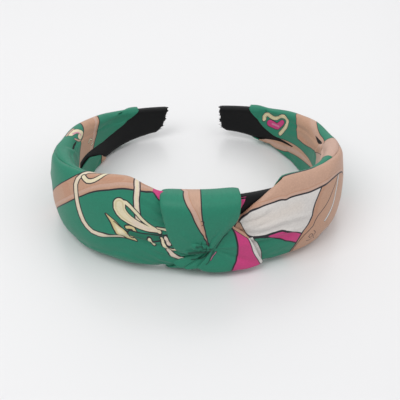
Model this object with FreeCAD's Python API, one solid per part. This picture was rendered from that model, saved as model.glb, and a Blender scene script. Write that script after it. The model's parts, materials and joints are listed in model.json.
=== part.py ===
"""Knotted headband: a moulded C-shaped hoop in a black cloth cover, dressed in padded satin.

Millimetres and degrees. The hoop is drawn flat, in its own plane:
    x        to the wearer's side
    q        from the crown (q = 0, at the front) back to the open tips
    n        across the band, along the hoop's axis
    station  distance along the core's centre line from the crown, negative on the left
    d        distance outwards from the core's centre line
It is then tipped back by rest_tilt, as it lies on a table, and stood on z = 0.
"""

import FreeCAD
import Part
import math
import os

Vector = FreeCAD.Vector

# Hoop plan: four tangent arcs from the crown to each tip.
crown_radius = 88.0
crown_turn = 30.0
shoulder_radius = 46.0
shoulder_turn = 60.5
rear_radius = 73.0
rear_turn = 37.5
tip_radius = 50.0
tip_turn = 46.0

# Height of the core across the band, and the stations where it is set.
crown_height = 33.5
rear_height = 27.0
fair_height = 18.0
tip_height = 12.6
rear_height_station = 120.0
fair_height_station = 155.0
tip_corner_radius = 4.0

# Board, cloth and the gaps between layers.
core_thickness = 2.0
cover_gap = 0.1
cover_cloth = 0.6
sleeve_gap = 0.3
sleeve_cloth = 0.8
sleeve_corner = 1.6
tip_wrap_length = 20.0
tip_wrap_cloth = 0.5
tip_wrap_overhang = 0.6

# How the headband lies: tipped back, on the lowest of its sleeves and strap.
rest_tilt = 5.5

# Where each side bends when the hoop is spread. The hinge line lies just outside the cloth.
flex_station = 60.0
flex_outset = 0.5
flex_gap = 0.3

# Satin sleeves: station, reach outwards, rise above the cover, drop below the cover.
rear_sleeve = [
    (60.0, 10.0, 6.0, 3.0),
    (75.0, 10.0, 5.2, 3.0),
    (90.0, 9.8, 4.4, 2.8),
    (105.0, 9.2, 3.8, 2.6),
    (120.0, 8.2, 3.2, 2.3),
    (135.0, 6.6, 2.7, 2.0),
    (148.0, 4.8, 2.2, 1.5),
    (160.0, 3.8, 1.7, 1.3),
]
left_sleeve = [
    (12.0, 5.2, 1.4, 1.4),
    (19.0, 6.2, 1.7, 1.6),
    (27.0, 8.2, 4.2, 2.6),
    (36.0, 9.4, 6.4, 3.1),
    (46.0, 10.0, 6.8, 3.1),
] + rear_sleeve
right_sleeve = [
    (12.0, 5.2, 1.4, 1.4),
    (19.0, 6.2, 1.5, 1.6),
    (27.0, 7.4, 2.6, 2.2),
    (36.0, 8.8, 4.0, 3.0),
    (46.0, 10.0, 6.0, 3.1),
] + rear_sleeve

# The sleeves' openings: a V towards each tip on the inner face, and the right sleeve's slanted neck.
vee_point_station = 100.0
vee_point_level = -3.0
vee_low_station = 140.0
neck_low_station = 10.0
neck_low_level = 1.0
neck_high_station = 33.0

# Wadding strips inside the sleeves.
pad_margin = 2.5
pad_corner = 0.8
pad_ridge = 0.5
left_pad_start = 26.0
right_pad_start = 40.0
pad_end = 138.0

# Spacing of the cross-sections that soft pieces are drawn through.
section_step = 8.0

# Knot: a strap looped round the band over the sleeves' necks, gathered to a pinch low in front.
strap_half_width = 19.5
strap_cloth = 1.5
strap_front_cloth = 3.0
strap_tail_cloth = 1.0
strap_corner = 1.2
strap_left_level = 18.0
strap_right_level = 12.0
strap_foot = -8.0
foot_bend_out = 6.5
foot_bend_up = 11.0
pinch_left = 1.5
pinch_right = 6.5
pinch_level = -8.0
pinch_bend_out = 7.6
pinch_bend_up = 12.4
knot_gap = 0.3

# The two ends of the strap below the pinch: reach past the strap's front, and their outer edges.
lobe_reach = 0.8
lobe_neck_rise = 5.0
lobe_top = 5.0
lobe_top_out = 7.0
lobe_shoulder_out = 13.0
lobe_shoulder_drop = 5.0
lobe_end = 28.5
lobe_end_in = 4.0
lobe_end_drop = 14.0
tuck_reach = 0.3
tuck_end = -13.0
tuck_end_drop = 7.0
tuck_foot_in = 1.0
tuck_top_rise = 0.5
ends_parting = 0.0

# Stitches that close the strap's loop on the inside.
stitch_count = 5
stitch_length = 5.0
stitch_radius = 0.3
stitch_pitch = 5.0
stitch_gap = 0.08

# Size of the blocks that only cut other pieces, how far cutters run past, and how finely the whole is
# measured when it is centred.
BEYOND = 300.0
OVERCUT = 1.0
BOX_TOLERANCE = 0.05

# Values worked out from the sizes above.
ARCS = [
    (crown_radius, crown_turn),
    (shoulder_radius, shoulder_turn),
    (rear_radius, rear_turn),
    (tip_radius, tip_turn),
]
ARC_ENDS = [sum(r * math.radians(t) for r, t in ARCS[: i + 1]) for i in range(len(ARCS))]
TIP = ARC_ENDS[-1]
COVER_GROW = cover_gap + cover_cloth
COVER_FACE = core_thickness / 2 + COVER_GROW
HOLLOW_FACE = COVER_FACE + sleeve_gap
SLEEVE_FACE = HOLLOW_FACE + sleeve_cloth
FRONT_FLEX = flex_station - flex_gap / 2
REAR_FLEX = flex_station + flex_gap / 2


def path(station):
    """x, q and heading of the core's centre line at a station."""
    x, q, heading, left = 0.0, 0.0, 0.0, abs(station)
    for index, (radius, turn) in enumerate(ARCS):
        step = left / radius
        if index < len(ARCS) - 1:
            step = min(step, math.radians(turn))
        x += radius * (math.sin(heading + step) - math.sin(heading))
        q += radius * (math.cos(heading) - math.cos(heading + step))
        heading += step
        left -= radius * step
    side = -1.0 if station < 0 else 1.0
    return side * x, q, side * heading


def outward(station):
    """Unit vector out of the band at a station."""
    heading = path(station)[2]
    return Vector(math.sin(heading), -math.cos(heading), 0)


def at(station, d, n=0.0):
    """Point at a station, a distance outwards and a level."""
    x, q, _ = path(station)
    return Vector(x, q, n) + outward(station) * d


def line(a, b):
    return Part.LineSegment(a, b).toShape()


def arc(a, middle, b):
    return Part.Arc(a, middle, b).toShape()


def polygon_face(points):
    return Part.Face(Part.makePolygon(points + points[:1]))


def strip(start, end, inner, outer, low, high):
    """Solid that follows the hoop's plan between two stations, two offsets and two levels."""
    joints = sorted(side * s for side in (-1, 1) for s in ARC_ENDS[:-1])
    stops = [start] + [s for s in joints if start < s < end] + [end]
    spans = list(zip(stops, stops[1:]))
    edges = [arc(at(a, outer, low), at((a + b) / 2, outer, low), at(b, outer, low)) for a, b in spans]
    edges.append(line(at(end, outer, low), at(end, inner, low)))
    edges += [arc(at(b, inner, low), at((a + b) / 2, inner, low), at(a, inner, low)) for a, b in spans[::-1]]
    edges.append(line(at(start, inner, low), at(start, outer, low)))
    return Part.Face(Part.Wire(edges)).extrude(Vector(0, 0, high - low))


def side_heights():
    """Side outline of the core: q and half height at the crown, rear arc, fair point and tip."""
    return [
        (0.0, crown_height / 2),
        (path(rear_height_station)[1], rear_height / 2),
        (path(fair_height_station)[1], fair_height / 2),
        (path(TIP)[1] + SLEEVE_FACE, tip_height / 2),
    ]


def side_curve(grow, sign):
    """Edges of the side outline from in front of the crown to behind the tips, grown by a gap."""
    crown, rear, fair, tip = [Vector(-BEYOND, q, sign * (half + grow)) for q, half in side_heights()]
    front = crown - Vector(0, BEYOND, 0)
    back = tip + Vector(0, BEYOND, 0)
    return [line(front, crown), line(crown, rear), arc(rear, fair, tip), line(tip, back)]


def side_block(grow):
    """Solid as high as the core all along, plus a gap, and wide enough to cut the whole hoop."""
    top = side_curve(grow, 1)
    bottom = side_curve(grow, -1)
    front = line(top[0].Vertexes[0].Point, bottom[0].Vertexes[0].Point)
    back = line(top[-1].Vertexes[-1].Point, bottom[-1].Vertexes[-1].Point)
    outline = Part.Wire(Part.sortEdges(top + bottom + [front, back])[0])
    return Part.Face(outline).extrude(Vector(2 * BEYOND, 0, 0))


def cover_half(station):
    """Half height of the covered core at a station."""
    crown, rear, _, tip = side_heights()
    q = min(path(station)[1], tip[0])
    if q <= rear[0]:
        half = crown[1] + (rear[1] - crown[1]) * q / rear[0]
    else:
        fairing = side_curve(0, 1)[2].Curve
        half = fairing.Center.z + math.sqrt(fairing.Radius**2 - (q - fairing.Center.y) ** 2)
    return half + COVER_GROW


def band(start, end, face, grow):
    """Length of hoop, two faces thick about its centre line, at the core's height plus a gap."""
    return strip(start, end, -face, face, -crown_height, crown_height).common(side_block(grow))


def tip_corner(side):
    """Cutter that rounds one corner of the board at the right-hand tip."""
    edge = side * (cover_half(TIP) - COVER_GROW)
    level = edge - side * tip_corner_radius
    far = edge + side * OVERCUT
    bend = tip_corner_radius * (1 - math.sqrt(0.5))
    round_end = tip_corner_radius
    outline = [
        line(Vector(-OVERCUT, level, 0), Vector(0, level, 0)),
        arc(Vector(0, level, 0), Vector(bend, edge - side * bend, 0), Vector(round_end, edge, 0)),
        line(Vector(round_end, edge, 0), Vector(round_end, far, 0)),
        line(Vector(round_end, far, 0), Vector(-OVERCUT, far, 0)),
        line(Vector(-OVERCUT, far, 0), Vector(-OVERCUT, level, 0)),
    ]
    out, up = outward(TIP), Vector(0, 0, 1)
    face = Part.Face(Part.Wire(outline))
    turn = FreeCAD.Rotation(out.cross(up), up, -out, "ZXY")
    face.Placement = FreeCAD.Placement(at(TIP, -core_thickness), turn)
    return face.extrude(out * 2 * core_thickness)


def core(start, end):
    """The moulded board, with rounded corners at a tip."""
    board = band(start, end, core_thickness / 2, 0)
    if end >= TIP:
        board = board.cut(tip_corner(1)).cut(tip_corner(-1))
    return board.Solids[0]


def cover(start, end):
    """Black cloth round the board, closed over a tip."""
    at_tip = end >= TIP
    shell = band(start, end + (COVER_GROW if at_tip else 0), COVER_FACE, COVER_GROW)
    hollow_end = TIP + cover_gap if at_tip else end + OVERCUT
    hollow = band(start - OVERCUT, hollow_end, core_thickness / 2 + cover_gap, cover_gap)
    return shell.cut(hollow)


def tip_wrap():
    """Short ribbon round the cover at the right-hand tip, open at both ends."""
    start, end = TIP - tip_wrap_length, TIP + COVER_GROW + tip_wrap_overhang
    face, grow = COVER_FACE + cover_gap, COVER_GROW + cover_gap
    ribbon = band(start, end, face + tip_wrap_cloth, grow + tip_wrap_cloth)
    return ribbon.cut(band(start - OVERCUT, end + OVERCUT, face, grow))


def stand(wire, station):
    """Turn a wire drawn in (d, n) into the plane across the band at a station."""
    out = outward(station)
    up = Vector(0, 0, 1)
    wire.Placement = FreeCAD.Placement(at(station, 0), FreeCAD.Rotation(out, up, out.cross(up), "ZXY"))
    return wire


def section(station, inner, ridge, outer, low, high, corner):
    """Closed section: flat towards the head at d = inner, half an ellipse from the ridge outwards."""
    middle = (low + high) / 2
    slant = corner * (1 - math.sqrt(0.5))
    ellipse = Part.Ellipse(Vector(ridge, high, 0), Vector(outer, middle, 0), Vector(ridge, middle, 0))
    top_in, top_out = Vector(inner + corner, high, 0), Vector(ridge, high, 0)
    low_in, low_out = Vector(inner + corner, low, 0), Vector(ridge, low, 0)
    side_high, side_low = Vector(inner, high - corner, 0), Vector(inner, low + corner, 0)
    edges = [
        line(side_low, side_high),
        arc(side_high, Vector(inner + slant, high - slant, 0), top_in),
        line(top_in, top_out),
        Part.Arc(ellipse, 0, math.pi).toShape(),
        line(low_out, low_in),
        arc(low_in, Vector(inner + slant, low + slant, 0), side_low),
    ]
    return stand(Part.Wire(edges), station)


def between(table, station):
    """Row of a sleeve's table at a station, on a smooth curve through its neighbours."""
    last = len(table) - 1
    index = max(i for i in range(last) if table[i][0] <= station)
    rows = [table[max(0, index - 1)], table[index], table[index + 1], table[min(last, index + 2)]]
    span = rows[2][0] - rows[1][0]
    t = (station - rows[1][0]) / span
    values = []
    for before, start, end, after in zip(*rows):
        slope_start = (end - before) / (rows[2][0] - rows[0][0]) * span
        slope_end = (after - start) / (rows[3][0] - rows[1][0]) * span
        rest = (1 - t) ** 2 * (1 + 2 * t) * start + t**2 * (3 - 2 * t) * end
        values.append(rest + t * (1 - t) ** 2 * slope_start - t**2 * (1 - t) * slope_end)
    return values


def spaced(start, end, step):
    """Stations from start to end at about a step apart."""
    count = max(2, round((end - start) / step))
    return [start + (end - start) * index / count for index in range(count + 1)]


def sleeve_block(table, start, end, inset):
    """Solid inside a sleeve's outer face, or inset from it by a thickness of cloth."""
    wires = []
    for station in spaced(start, end, section_step):
        _, reach, rise, drop = between(table, station)
        half = cover_half(station)
        wires.append(
            section(
                station,
                -SLEEVE_FACE + inset,
                HOLLOW_FACE,
                reach - inset,
                -half - drop + inset,
                half + rise - inset,
                sleeve_corner - inset / 2,
            )
        )
    return Part.makeLoft(wires, True, False)


def lie():
    """Placement of the hoop as it lies: no cover nearer the surface than the sleeve's cloth and gap."""
    tilt = math.radians(rest_tilt)
    covered = max(
        path(station)[1] * math.sin(tilt) + cover_half(station) * math.cos(tilt)
        for station in spaced(0, rear_sleeve[-1][0], section_step)
    )
    strapped = (strap_sizes()[2] + strap_cloth) * math.cos(tilt)
    height = max(covered + sleeve_cloth, strapped) + sleeve_gap
    return FreeCAD.Placement(Vector(0, 0, height), FreeCAD.Rotation(Vector(1, 0, 0), -rest_tilt))


def above_floor(shape, height):
    """What is left of a hoop-frame solid above a height over the surface it lies on."""
    tall = 2 * BEYOND
    block = Part.makeBox(tall, tall, tall, Vector(-BEYOND, -BEYOND, height))
    return shape.common(block.transformed(lie().inverse().toMatrix()))


def sleeve(table, start, end):
    """Satin sleeve round the covered board and its wadding, flattened where it rests."""
    skin = above_floor(sleeve_block(table, start, end, 0), 0)
    span = max(start - OVERCUT, table[0][0]), min(end + OVERCUT, table[-1][0])
    hollow = above_floor(sleeve_block(table, span[0], span[1], sleeve_cloth), sleeve_cloth)
    return skin.cut(hollow)


def vee():
    """Cutter for the V that a sleeve leaves open on the band's inner face, towards the right-hand tip."""
    last = rear_sleeve[-1][0]
    _, point_q, _ = path(vee_point_station)
    _, low_q, _ = path(vee_low_station)
    _, high_q, _ = path(last)
    deep = crown_height
    low = -cover_half(vee_low_station)
    slope = (low - vee_point_level) / (low_q - point_q)
    rise = (cover_half(last) - vee_point_level) / (high_q - point_q)
    far = high_q + deep
    outline = [
        Vector(-BEYOND, point_q, vee_point_level),
        Vector(-BEYOND, far, vee_point_level + rise * (far - point_q)),
        Vector(-BEYOND, far, vee_point_level + slope * (far - point_q)),
    ]
    wedge = polygon_face(outline).extrude(Vector(2 * BEYOND, 0, 0))
    return wedge.common(strip(vee_point_station, last + deep / 2, -crown_height, -COVER_FACE, -deep, deep))


def neck_cutter():
    """Cutter that bares the cover above the right sleeve's neck, beside the knot."""
    low = at(neck_low_station, 0, neck_low_level)
    high = at(neck_high_station, 0, cover_half(neck_high_station))
    tall = high.z + crown_height
    outline = [
        Vector(low.x, -BEYOND, low.z),
        Vector(high.x, -BEYOND, high.z),
        Vector(high.x + (high.x - low.x) / (high.z - low.z) * crown_height, -BEYOND, tall),
        Vector(low.x, -BEYOND, tall),
    ]
    wedge = polygon_face(outline).extrude(Vector(0, 2 * BEYOND, 0))
    return wedge.common(strip(0, flex_station, -crown_height, crown_height, -crown_height, tall))


def pad(table, start, end):
    """Wadding strip between the cover's outer face and the sleeve."""
    wires = []
    for station in spaced(start, end, section_step):
        reach = between(table, station)[1] - sleeve_cloth - sleeve_gap
        half = cover_half(station) - pad_margin
        ridge = HOLLOW_FACE + pad_corner + pad_ridge
        wires.append(section(station, HOLLOW_FACE, ridge, reach, -half, half, pad_corner))
    return Part.makeLoft(wires, True, False)


def hoop_of_crown(reach, inner, outer, half, corner):
    """Bar with rounded corners, bent along the crown's arc to either side of the middle."""
    corners = [(outer, half, -1, -1), (outer, -half, -1, 1), (inner, -half, 1, 1), (inner, half, 1, -1)]
    edges = []
    for index, (d, n, side, level) in enumerate(corners):
        along, across = Vector(side * corner, 0, 0), Vector(0, level * corner, 0)
        point = Vector(d, n, 0)
        bend = point + (along + across) * (1 - math.sqrt(0.5))
        first, last = (along, across) if index % 2 == 0 else (across, along)
        edges.append(arc(point + first, bend, point + last))
    joined = []
    for edge, following in zip(edges, edges[1:] + edges[:1]):
        joined += [edge, line(edge.Vertexes[-1].Point, following.Vertexes[0].Point)]
    bar = Part.Face(stand(Part.Wire(joined), -reach))
    turn = math.degrees(2 * reach / crown_radius)
    return bar.revolve(Vector(0, crown_radius, 0), Vector(0, 0, 1), turn)


def front_prism(edges):
    """Solid behind an outline drawn as seen from the front."""
    face = Part.Face(Part.Wire(edges))
    face.translate(Vector(0, -BEYOND, 0))
    return face.extrude(Vector(0, 2 * BEYOND, 0))


def strap_outline():
    """Front of the strap: straight at the top, drawn in on both sides to the pinch."""
    side = strap_half_width + OVERCUT
    level = -2 * crown_height
    return [
        line(Vector(-side, 0, -level), Vector(-side, 0, strap_left_level)),
        arc(
            Vector(-side, 0, strap_left_level),
            Vector(strap_foot - foot_bend_out, 0, pinch_level + foot_bend_up),
            Vector(strap_foot, 0, pinch_level),
        ),
        line(Vector(strap_foot, 0, pinch_level), Vector(pinch_left, 0, pinch_level)),
        line(Vector(pinch_left, 0, pinch_level), Vector(pinch_left, 0, level)),
        line(Vector(pinch_left, 0, level), Vector(pinch_right, 0, level)),
        line(Vector(pinch_right, 0, level), Vector(pinch_right, 0, pinch_level)),
        arc(
            Vector(pinch_right, 0, pinch_level),
            Vector(pinch_right + pinch_bend_out, 0, pinch_level + pinch_bend_up),
            Vector(side, 0, strap_right_level),
        ),
        line(Vector(side, 0, strap_right_level), Vector(side, 0, -level)),
        line(Vector(side, 0, -level), Vector(-side, 0, -level)),
    ]


def strap_sizes():
    """Hole of the strap's loop: its inner and outer faces and its half height."""
    half = cover_half(0) + left_sleeve[0][2] + knot_gap
    return -SLEEVE_FACE - knot_gap, left_sleeve[1][1] + knot_gap, half


def strap():
    """Loop of satin round the crown: full width behind, gathered to the pinch in front."""
    inner, outer, half = strap_sizes()
    front = outer + strap_front_cloth
    loop = hoop_of_crown(
        strap_half_width, inner - strap_cloth, front, half + strap_cloth, strap_corner + strap_cloth
    )
    loop = loop.cut(hoop_of_crown(strap_half_width + OVERCUT, inner, outer, half, strap_corner))
    wide = 2 * strap_half_width
    panel = strip(-wide, wide, HOLLOW_FACE, front + OVERCUT, -crown_height, crown_height)
    below = strip(-wide, wide, outer + strap_tail_cloth, front + OVERCUT, -crown_height, pinch_level)
    return above_floor(loop.cut(panel.cut(front_prism(strap_outline()))).cut(below), 0)


def knot_end(outline, reach, start, end, necks):
    """One end of the strap, spread out below the pinch in front of a sleeve's neck."""
    _, outer, _ = strap_sizes()
    front = outer + strap_front_cloth + reach
    spread = strip(start, end, outer + strap_tail_cloth + knot_gap, front, -crown_height, crown_height)
    spread = spread.common(front_prism([line(a, b) for a, b in zip(outline, outline[1:] + outline[:1])]))
    upper = strip(start, end, 0, front + OVERCUT, pinch_level, crown_height)
    upper = upper.common(grown_strap_prism())
    return above_floor(spread.cut(upper).cut(necks), 0)


def grown_strap_prism():
    """The strap's outline from the front, a gap larger all round."""
    face = Part.Face(Part.Wire(strap_outline())).makeOffset2D(knot_gap)
    face.translate(Vector(0, -BEYOND, 0))
    return face.extrude(Vector(0, 2 * BEYOND, 0))


def stitches():
    """Short bars of thread down the middle of the strap's back."""
    inner, _, _ = strap_sizes()
    d = inner - strap_cloth - stitch_gap - stitch_radius
    bars = []
    for index in range(stitch_count):
        level = (index - (stitch_count - 1) / 2) * stitch_pitch
        start = at(0, d, level) - Vector(stitch_length / 2, 0, 0)
        bars.append(Part.makeCylinder(stitch_radius, stitch_length, start, Vector(1, 0, 0)))
    return Part.makeCompound(bars)


def mirrored(shape):
    return shape.mirror(Vector(0, 0, 0), Vector(1, 0, 0))


def lobe_outline():
    """The right-hand end of the strap, fanned out from under the pinch."""
    return [
        Vector(ends_parting, 0, pinch_level),
        Vector(pinch_left, 0, pinch_level + lobe_neck_rise),
        Vector(pinch_right + lobe_top_out, 0, lobe_top),
        Vector(pinch_right + lobe_shoulder_out, 0, lobe_top - lobe_shoulder_drop),
        Vector(lobe_end - lobe_end_in, 0, lobe_top - lobe_end_drop),
        Vector(lobe_end, 0, -crown_height),
        Vector(ends_parting, 0, -crown_height),
    ]


def tuck_outline():
    """The left-hand end, folded under the strap's foot."""
    inside = ends_parting - knot_gap
    return [
        Vector(tuck_end, 0, pinch_level - tuck_end_drop),
        Vector(strap_foot, 0, pinch_level + tuck_top_rise),
        Vector(inside, 0, pinch_level + tuck_top_rise),
        Vector(inside, 0, -crown_height),
        Vector(tuck_end + tuck_foot_in, 0, -crown_height),
    ]


def crown_pieces():
    """What stays with the crown when the hoop is spread."""
    left_neck = mirrored(sleeve_block(left_sleeve, left_sleeve[0][0], FRONT_FLEX, -knot_gap))
    right_neck = sleeve_block(right_sleeve, right_sleeve[0][0], FRONT_FLEX, -knot_gap)
    return {
        "core_crown": core(-FRONT_FLEX, FRONT_FLEX),
        "cover_crown": cover(-FRONT_FLEX, FRONT_FLEX),
        "sleeve_left_front": mirrored(sleeve(left_sleeve, left_sleeve[0][0], FRONT_FLEX)),
        "sleeve_right_front": sleeve(right_sleeve, right_sleeve[0][0], FRONT_FLEX).cut(neck_cutter()),
        "wadding_left_front": mirrored(pad(left_sleeve, left_pad_start, FRONT_FLEX)),
        "wadding_right_front": pad(right_sleeve, right_pad_start, FRONT_FLEX),
        "knot_strap": strap(),
        "knot_end_right": knot_end(lobe_outline(), lobe_reach, ends_parting, lobe_end, right_neck),
        "knot_end_left": knot_end(tuck_outline(), tuck_reach, tuck_end, ends_parting, left_neck),
        "strap_stitches": stitches(),
    }


def arm_pieces():
    """The right-hand arm, from its flex line to its tip."""
    return {
        "core_arm": core(REAR_FLEX, TIP),
        "cover_arm": cover(REAR_FLEX, TIP),
        "sleeve_rear": sleeve(left_sleeve, REAR_FLEX, rear_sleeve[-1][0]).cut(vee()),
        "wadding_rear": pad(left_sleeve, REAR_FLEX, pad_end),
        "tip_wrap": tip_wrap(),
    }


def build():
    """Every piece by name, lying on z = 0 with the middle of the whole on the z axis."""
    pieces = crown_pieces()
    for name, shape in arm_pieces().items():
        pieces[name + "_right"] = shape
        pieces[name + "_left"] = mirrored(shape)
    placed = {name: shape.transformed(lie().toMatrix()) for name, shape in pieces.items()}
    points = [point for shape in placed.values() for point in shape.tessellate(BOX_TOLERANCE)[0]]
    middle_x = (min(p.x for p in points) + max(p.x for p in points)) / 2
    middle_y = (min(p.y for p in points) + max(p.y for p in points)) / 2
    move = Vector(-middle_x, -middle_y, 0)
    for shape in placed.values():
        shape.translate(move)
    report_places(move, points)
    return placed


def report_places(move, points):
    """Print where the hinge lines, the seat on the head and the tips come, for the record."""
    reach = max(row[1] for row in rear_sleeve) + flex_outset
    places = {
        "flex hinge": at(flex_station, reach),
        "seat": at(0, strap_sizes()[0] - strap_cloth),
        "tip": at(TIP, 0),
        "crown": at(0, 0),
    }
    for name, point in places.items():
        print(name, lie().multVec(point) + move)
    print("hinge axis", lie().Rotation.multVec(Vector(0, 0, 1)), "lowest", min(p.z for p in points))


os.makedirs("parts", exist_ok=True)
for node, piece in build().items():
    piece.exportStep("parts/" + node + ".step")
    print(node, len(piece.Solids), round(piece.Volume, 1), piece.isValid())
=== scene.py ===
"""Looks of the knotted headband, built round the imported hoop.

Soft pieces are laid out in the hoop's own terms, in millimetres:
    station  distance along the core's centre line from the crown, negative on the left
    d        distance outwards from the core's centre line
    n        across the band, upwards as it lies
"""

import bpy
import json
import math
import numpy as np
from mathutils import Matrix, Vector


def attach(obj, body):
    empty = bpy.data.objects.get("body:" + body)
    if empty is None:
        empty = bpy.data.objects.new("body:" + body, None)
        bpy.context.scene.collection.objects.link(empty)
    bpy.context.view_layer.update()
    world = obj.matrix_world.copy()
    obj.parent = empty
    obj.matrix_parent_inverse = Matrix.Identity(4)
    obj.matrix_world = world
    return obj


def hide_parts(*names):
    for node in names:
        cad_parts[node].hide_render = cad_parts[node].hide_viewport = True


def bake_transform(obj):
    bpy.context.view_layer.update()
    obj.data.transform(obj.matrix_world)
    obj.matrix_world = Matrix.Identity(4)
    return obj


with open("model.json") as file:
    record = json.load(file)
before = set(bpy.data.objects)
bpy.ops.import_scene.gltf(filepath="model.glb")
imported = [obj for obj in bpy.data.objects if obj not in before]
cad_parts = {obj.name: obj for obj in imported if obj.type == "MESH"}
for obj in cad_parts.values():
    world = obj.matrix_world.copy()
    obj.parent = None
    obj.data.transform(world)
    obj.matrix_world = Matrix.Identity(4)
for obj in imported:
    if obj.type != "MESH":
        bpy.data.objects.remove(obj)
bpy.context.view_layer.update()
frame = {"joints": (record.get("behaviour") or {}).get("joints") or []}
MM = 0.001

# Hoop: plan arcs (radius, turn), and half heights of the core at the crown, rear arc, fair point and tip.
ARCS = ((88.0, 30.0), (46.0, 60.5), (73.0, 37.5), (50.0, 46.0))
CROWN_HALF, REAR_HALF, FAIR_HALF, TIP_HALF = 16.75, 13.5, 9.0, 6.3
REAR_STATION, FAIR_STATION = 120.0, 155.0
TIP = sum(radius * math.radians(turn) for radius, turn in ARCS)
FLEX_STATION, FLEX_OUT = 60.0, 10.5
CORE_HALF_THICK = 1.0
COVER_FACE = 1.7
COVER_GROW = 0.7
COVER_THICK = 0.6
COVER_CORNER, CORE_CORNER = 0.7, 0.3
CORE_INSET = 1.6
SATIN_THICK = 0.6
INNER_FACE = -2.8
# Points across and up a face of the board. From CUT_START on, its rows lean towards the cut at the tip.
SLAB_COLUMNS = (5, 14)
CUT_START = 170.0
# Half height of the tip that the cuts in tip_ends are given for, and the length of the ribbon round it.
TIP_LEVEL = 7.4
TIP_RIBBON_LENGTH = 20.0
TIP_RIBBON_OUT = 0.14
# Stations where the wadding starts on each side, and where it ends.
LEFT_PAD_START, RIGHT_PAD_START, PAD_END = 26.0, 40.0, 138.0
# Stations that the soft pieces bend between, when an arm swings.
# Stations between the crown and an arm that bend() looks up; nothing is bent between them.
BEND_START, BEND_END = 36.0, 96.0

# Sleeves: station, reach, rise, drop, the crest's offset, depth of the slope inside the crest, and sag
# of the belly.
SLEEVE_END = (
    (136.0, 6.5, 2.6, 2.0, 0.6, 3.0, 0.10),
    (148.0, 4.9, 2.2, 1.6, 0.3, 2.4, 0.10),
    (160.0, 3.7, 1.7, 1.2, 0.1, 1.8, 0.10),
    (166.0, 3.1, 1.3, 1.0, 0.1, 1.6, 0.10),
)
LEFT_SLEEVE = (
    (8.0, 5.6, 0.6, 1.0, 0.8, 2.5, 0.20),
    (13.0, 6.4, 1.6, 1.4, 0.8, 3.0, 0.24),
    (19.0, 7.6, 3.4, 1.8, 0.8, 4.0, 0.26),
    (27.0, 8.8, 7.2, 2.4, 0.8, 6.0, 0.22),
    (34.0, 9.7, 10.0, 2.9, 0.8, 8.0, 0.18),
    (41.0, 10.2, 9.7, 3.0, 0.9, 9.0, 0.15),
    (49.0, 10.5, 8.6, 3.0, 1.2, 9.0, 0.12),
    (60.0, 10.7, 6.9, 3.0, 1.8, 9.0, 0.10),
    (72.0, 10.5, 6.0, 3.0, 4.0, 12.0, 0.10),
    (84.0, 10.2, 5.0, 2.9, 6.2, 13.0, 0.10),
    (94.0, 9.8, 4.2, 2.8, 5.4, 11.0, 0.10),
    (103.0, 9.2, 3.9, 2.6, 3.4, 8.0, 0.10),
    (113.0, 8.8, 3.6, 2.5, 1.9, 5.0, 0.10),
    (124.0, 7.8, 3.1, 2.3, 1.0, 4.0, 0.10),
) + SLEEVE_END
RIGHT_SLEEVE = (
    (10.0, 4.6, 1.0, 1.2, 2.4, 2.5, 0.20),
    (19.0, 5.8, 1.2, 1.6, 2.2, 3.0, 0.18),
    (27.0, 7.4, 1.8, 2.2, 1.4, 3.5, 0.14),
    (34.0, 8.9, 4.0, 2.7, 0.9, 5.0, 0.12),
    (39.0, 9.6, 7.0, 2.9, 0.8, 7.0, 0.11),
    (46.0, 10.3, 7.5, 3.0, 0.9, 8.0, 0.10),
    (60.0, 10.7, 6.2, 3.0, 1.8, 9.0, 0.10),
    (72.0, 10.5, 5.9, 3.0, 4.2, 12.0, 0.10),
    (84.0, 10.2, 5.0, 2.9, 6.4, 13.0, 0.10),
    (94.0, 9.8, 4.2, 2.8, 5.6, 11.0, 0.10),
    (103.0, 9.2, 3.9, 2.6, 3.4, 8.0, 0.10),
    (113.0, 8.8, 3.7, 2.5, 1.9, 5.0, 0.10),
    (124.0, 7.8, 3.2, 2.3, 1.0, 4.0, 0.10),
) + SLEEVE_END
SEAM_LEVEL = -3.0
# The V that each sleeve leaves open on the inner face: station, upper edge, lower edge.
LEFT_VEE = (
    (102.0, 3.4, 3.4), (112.0, 1.8, 0.6), (124.0, 0.6, -4.0), (136.0, -0.4, -8.6), (146.0, 1.2, -20.0),
    (154.0, 3.4, -20.0), (166.0, 9.0, -20.0),
)
RIGHT_VEE = (
    (130.0, -3.8, -3.8), (146.0, -3.6, -6.2), (155.0, -0.2, -8.0), (161.0, 4.4, -9.0), (166.0, 8.8, -9.4),
)
# The right sleeve's neck, gathered below the bare cover: station, and level of its edge outside and inside.
RIGHT_NECK = (
    (10.0, 3.0, -4.0),
    (19.0, 8.9, 0.0),
    (22.2, 11.7, 2.0),
    (26.2, 14.9, 5.0),
    (30.2, 17.7, 8.5),
    (34.2, 20.3, 11.0),
    (37.0, 22.6, 15.0),
    (39.2, 25.2, 20.0),
    (40.2, 27.0, 27.0),
)

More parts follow.
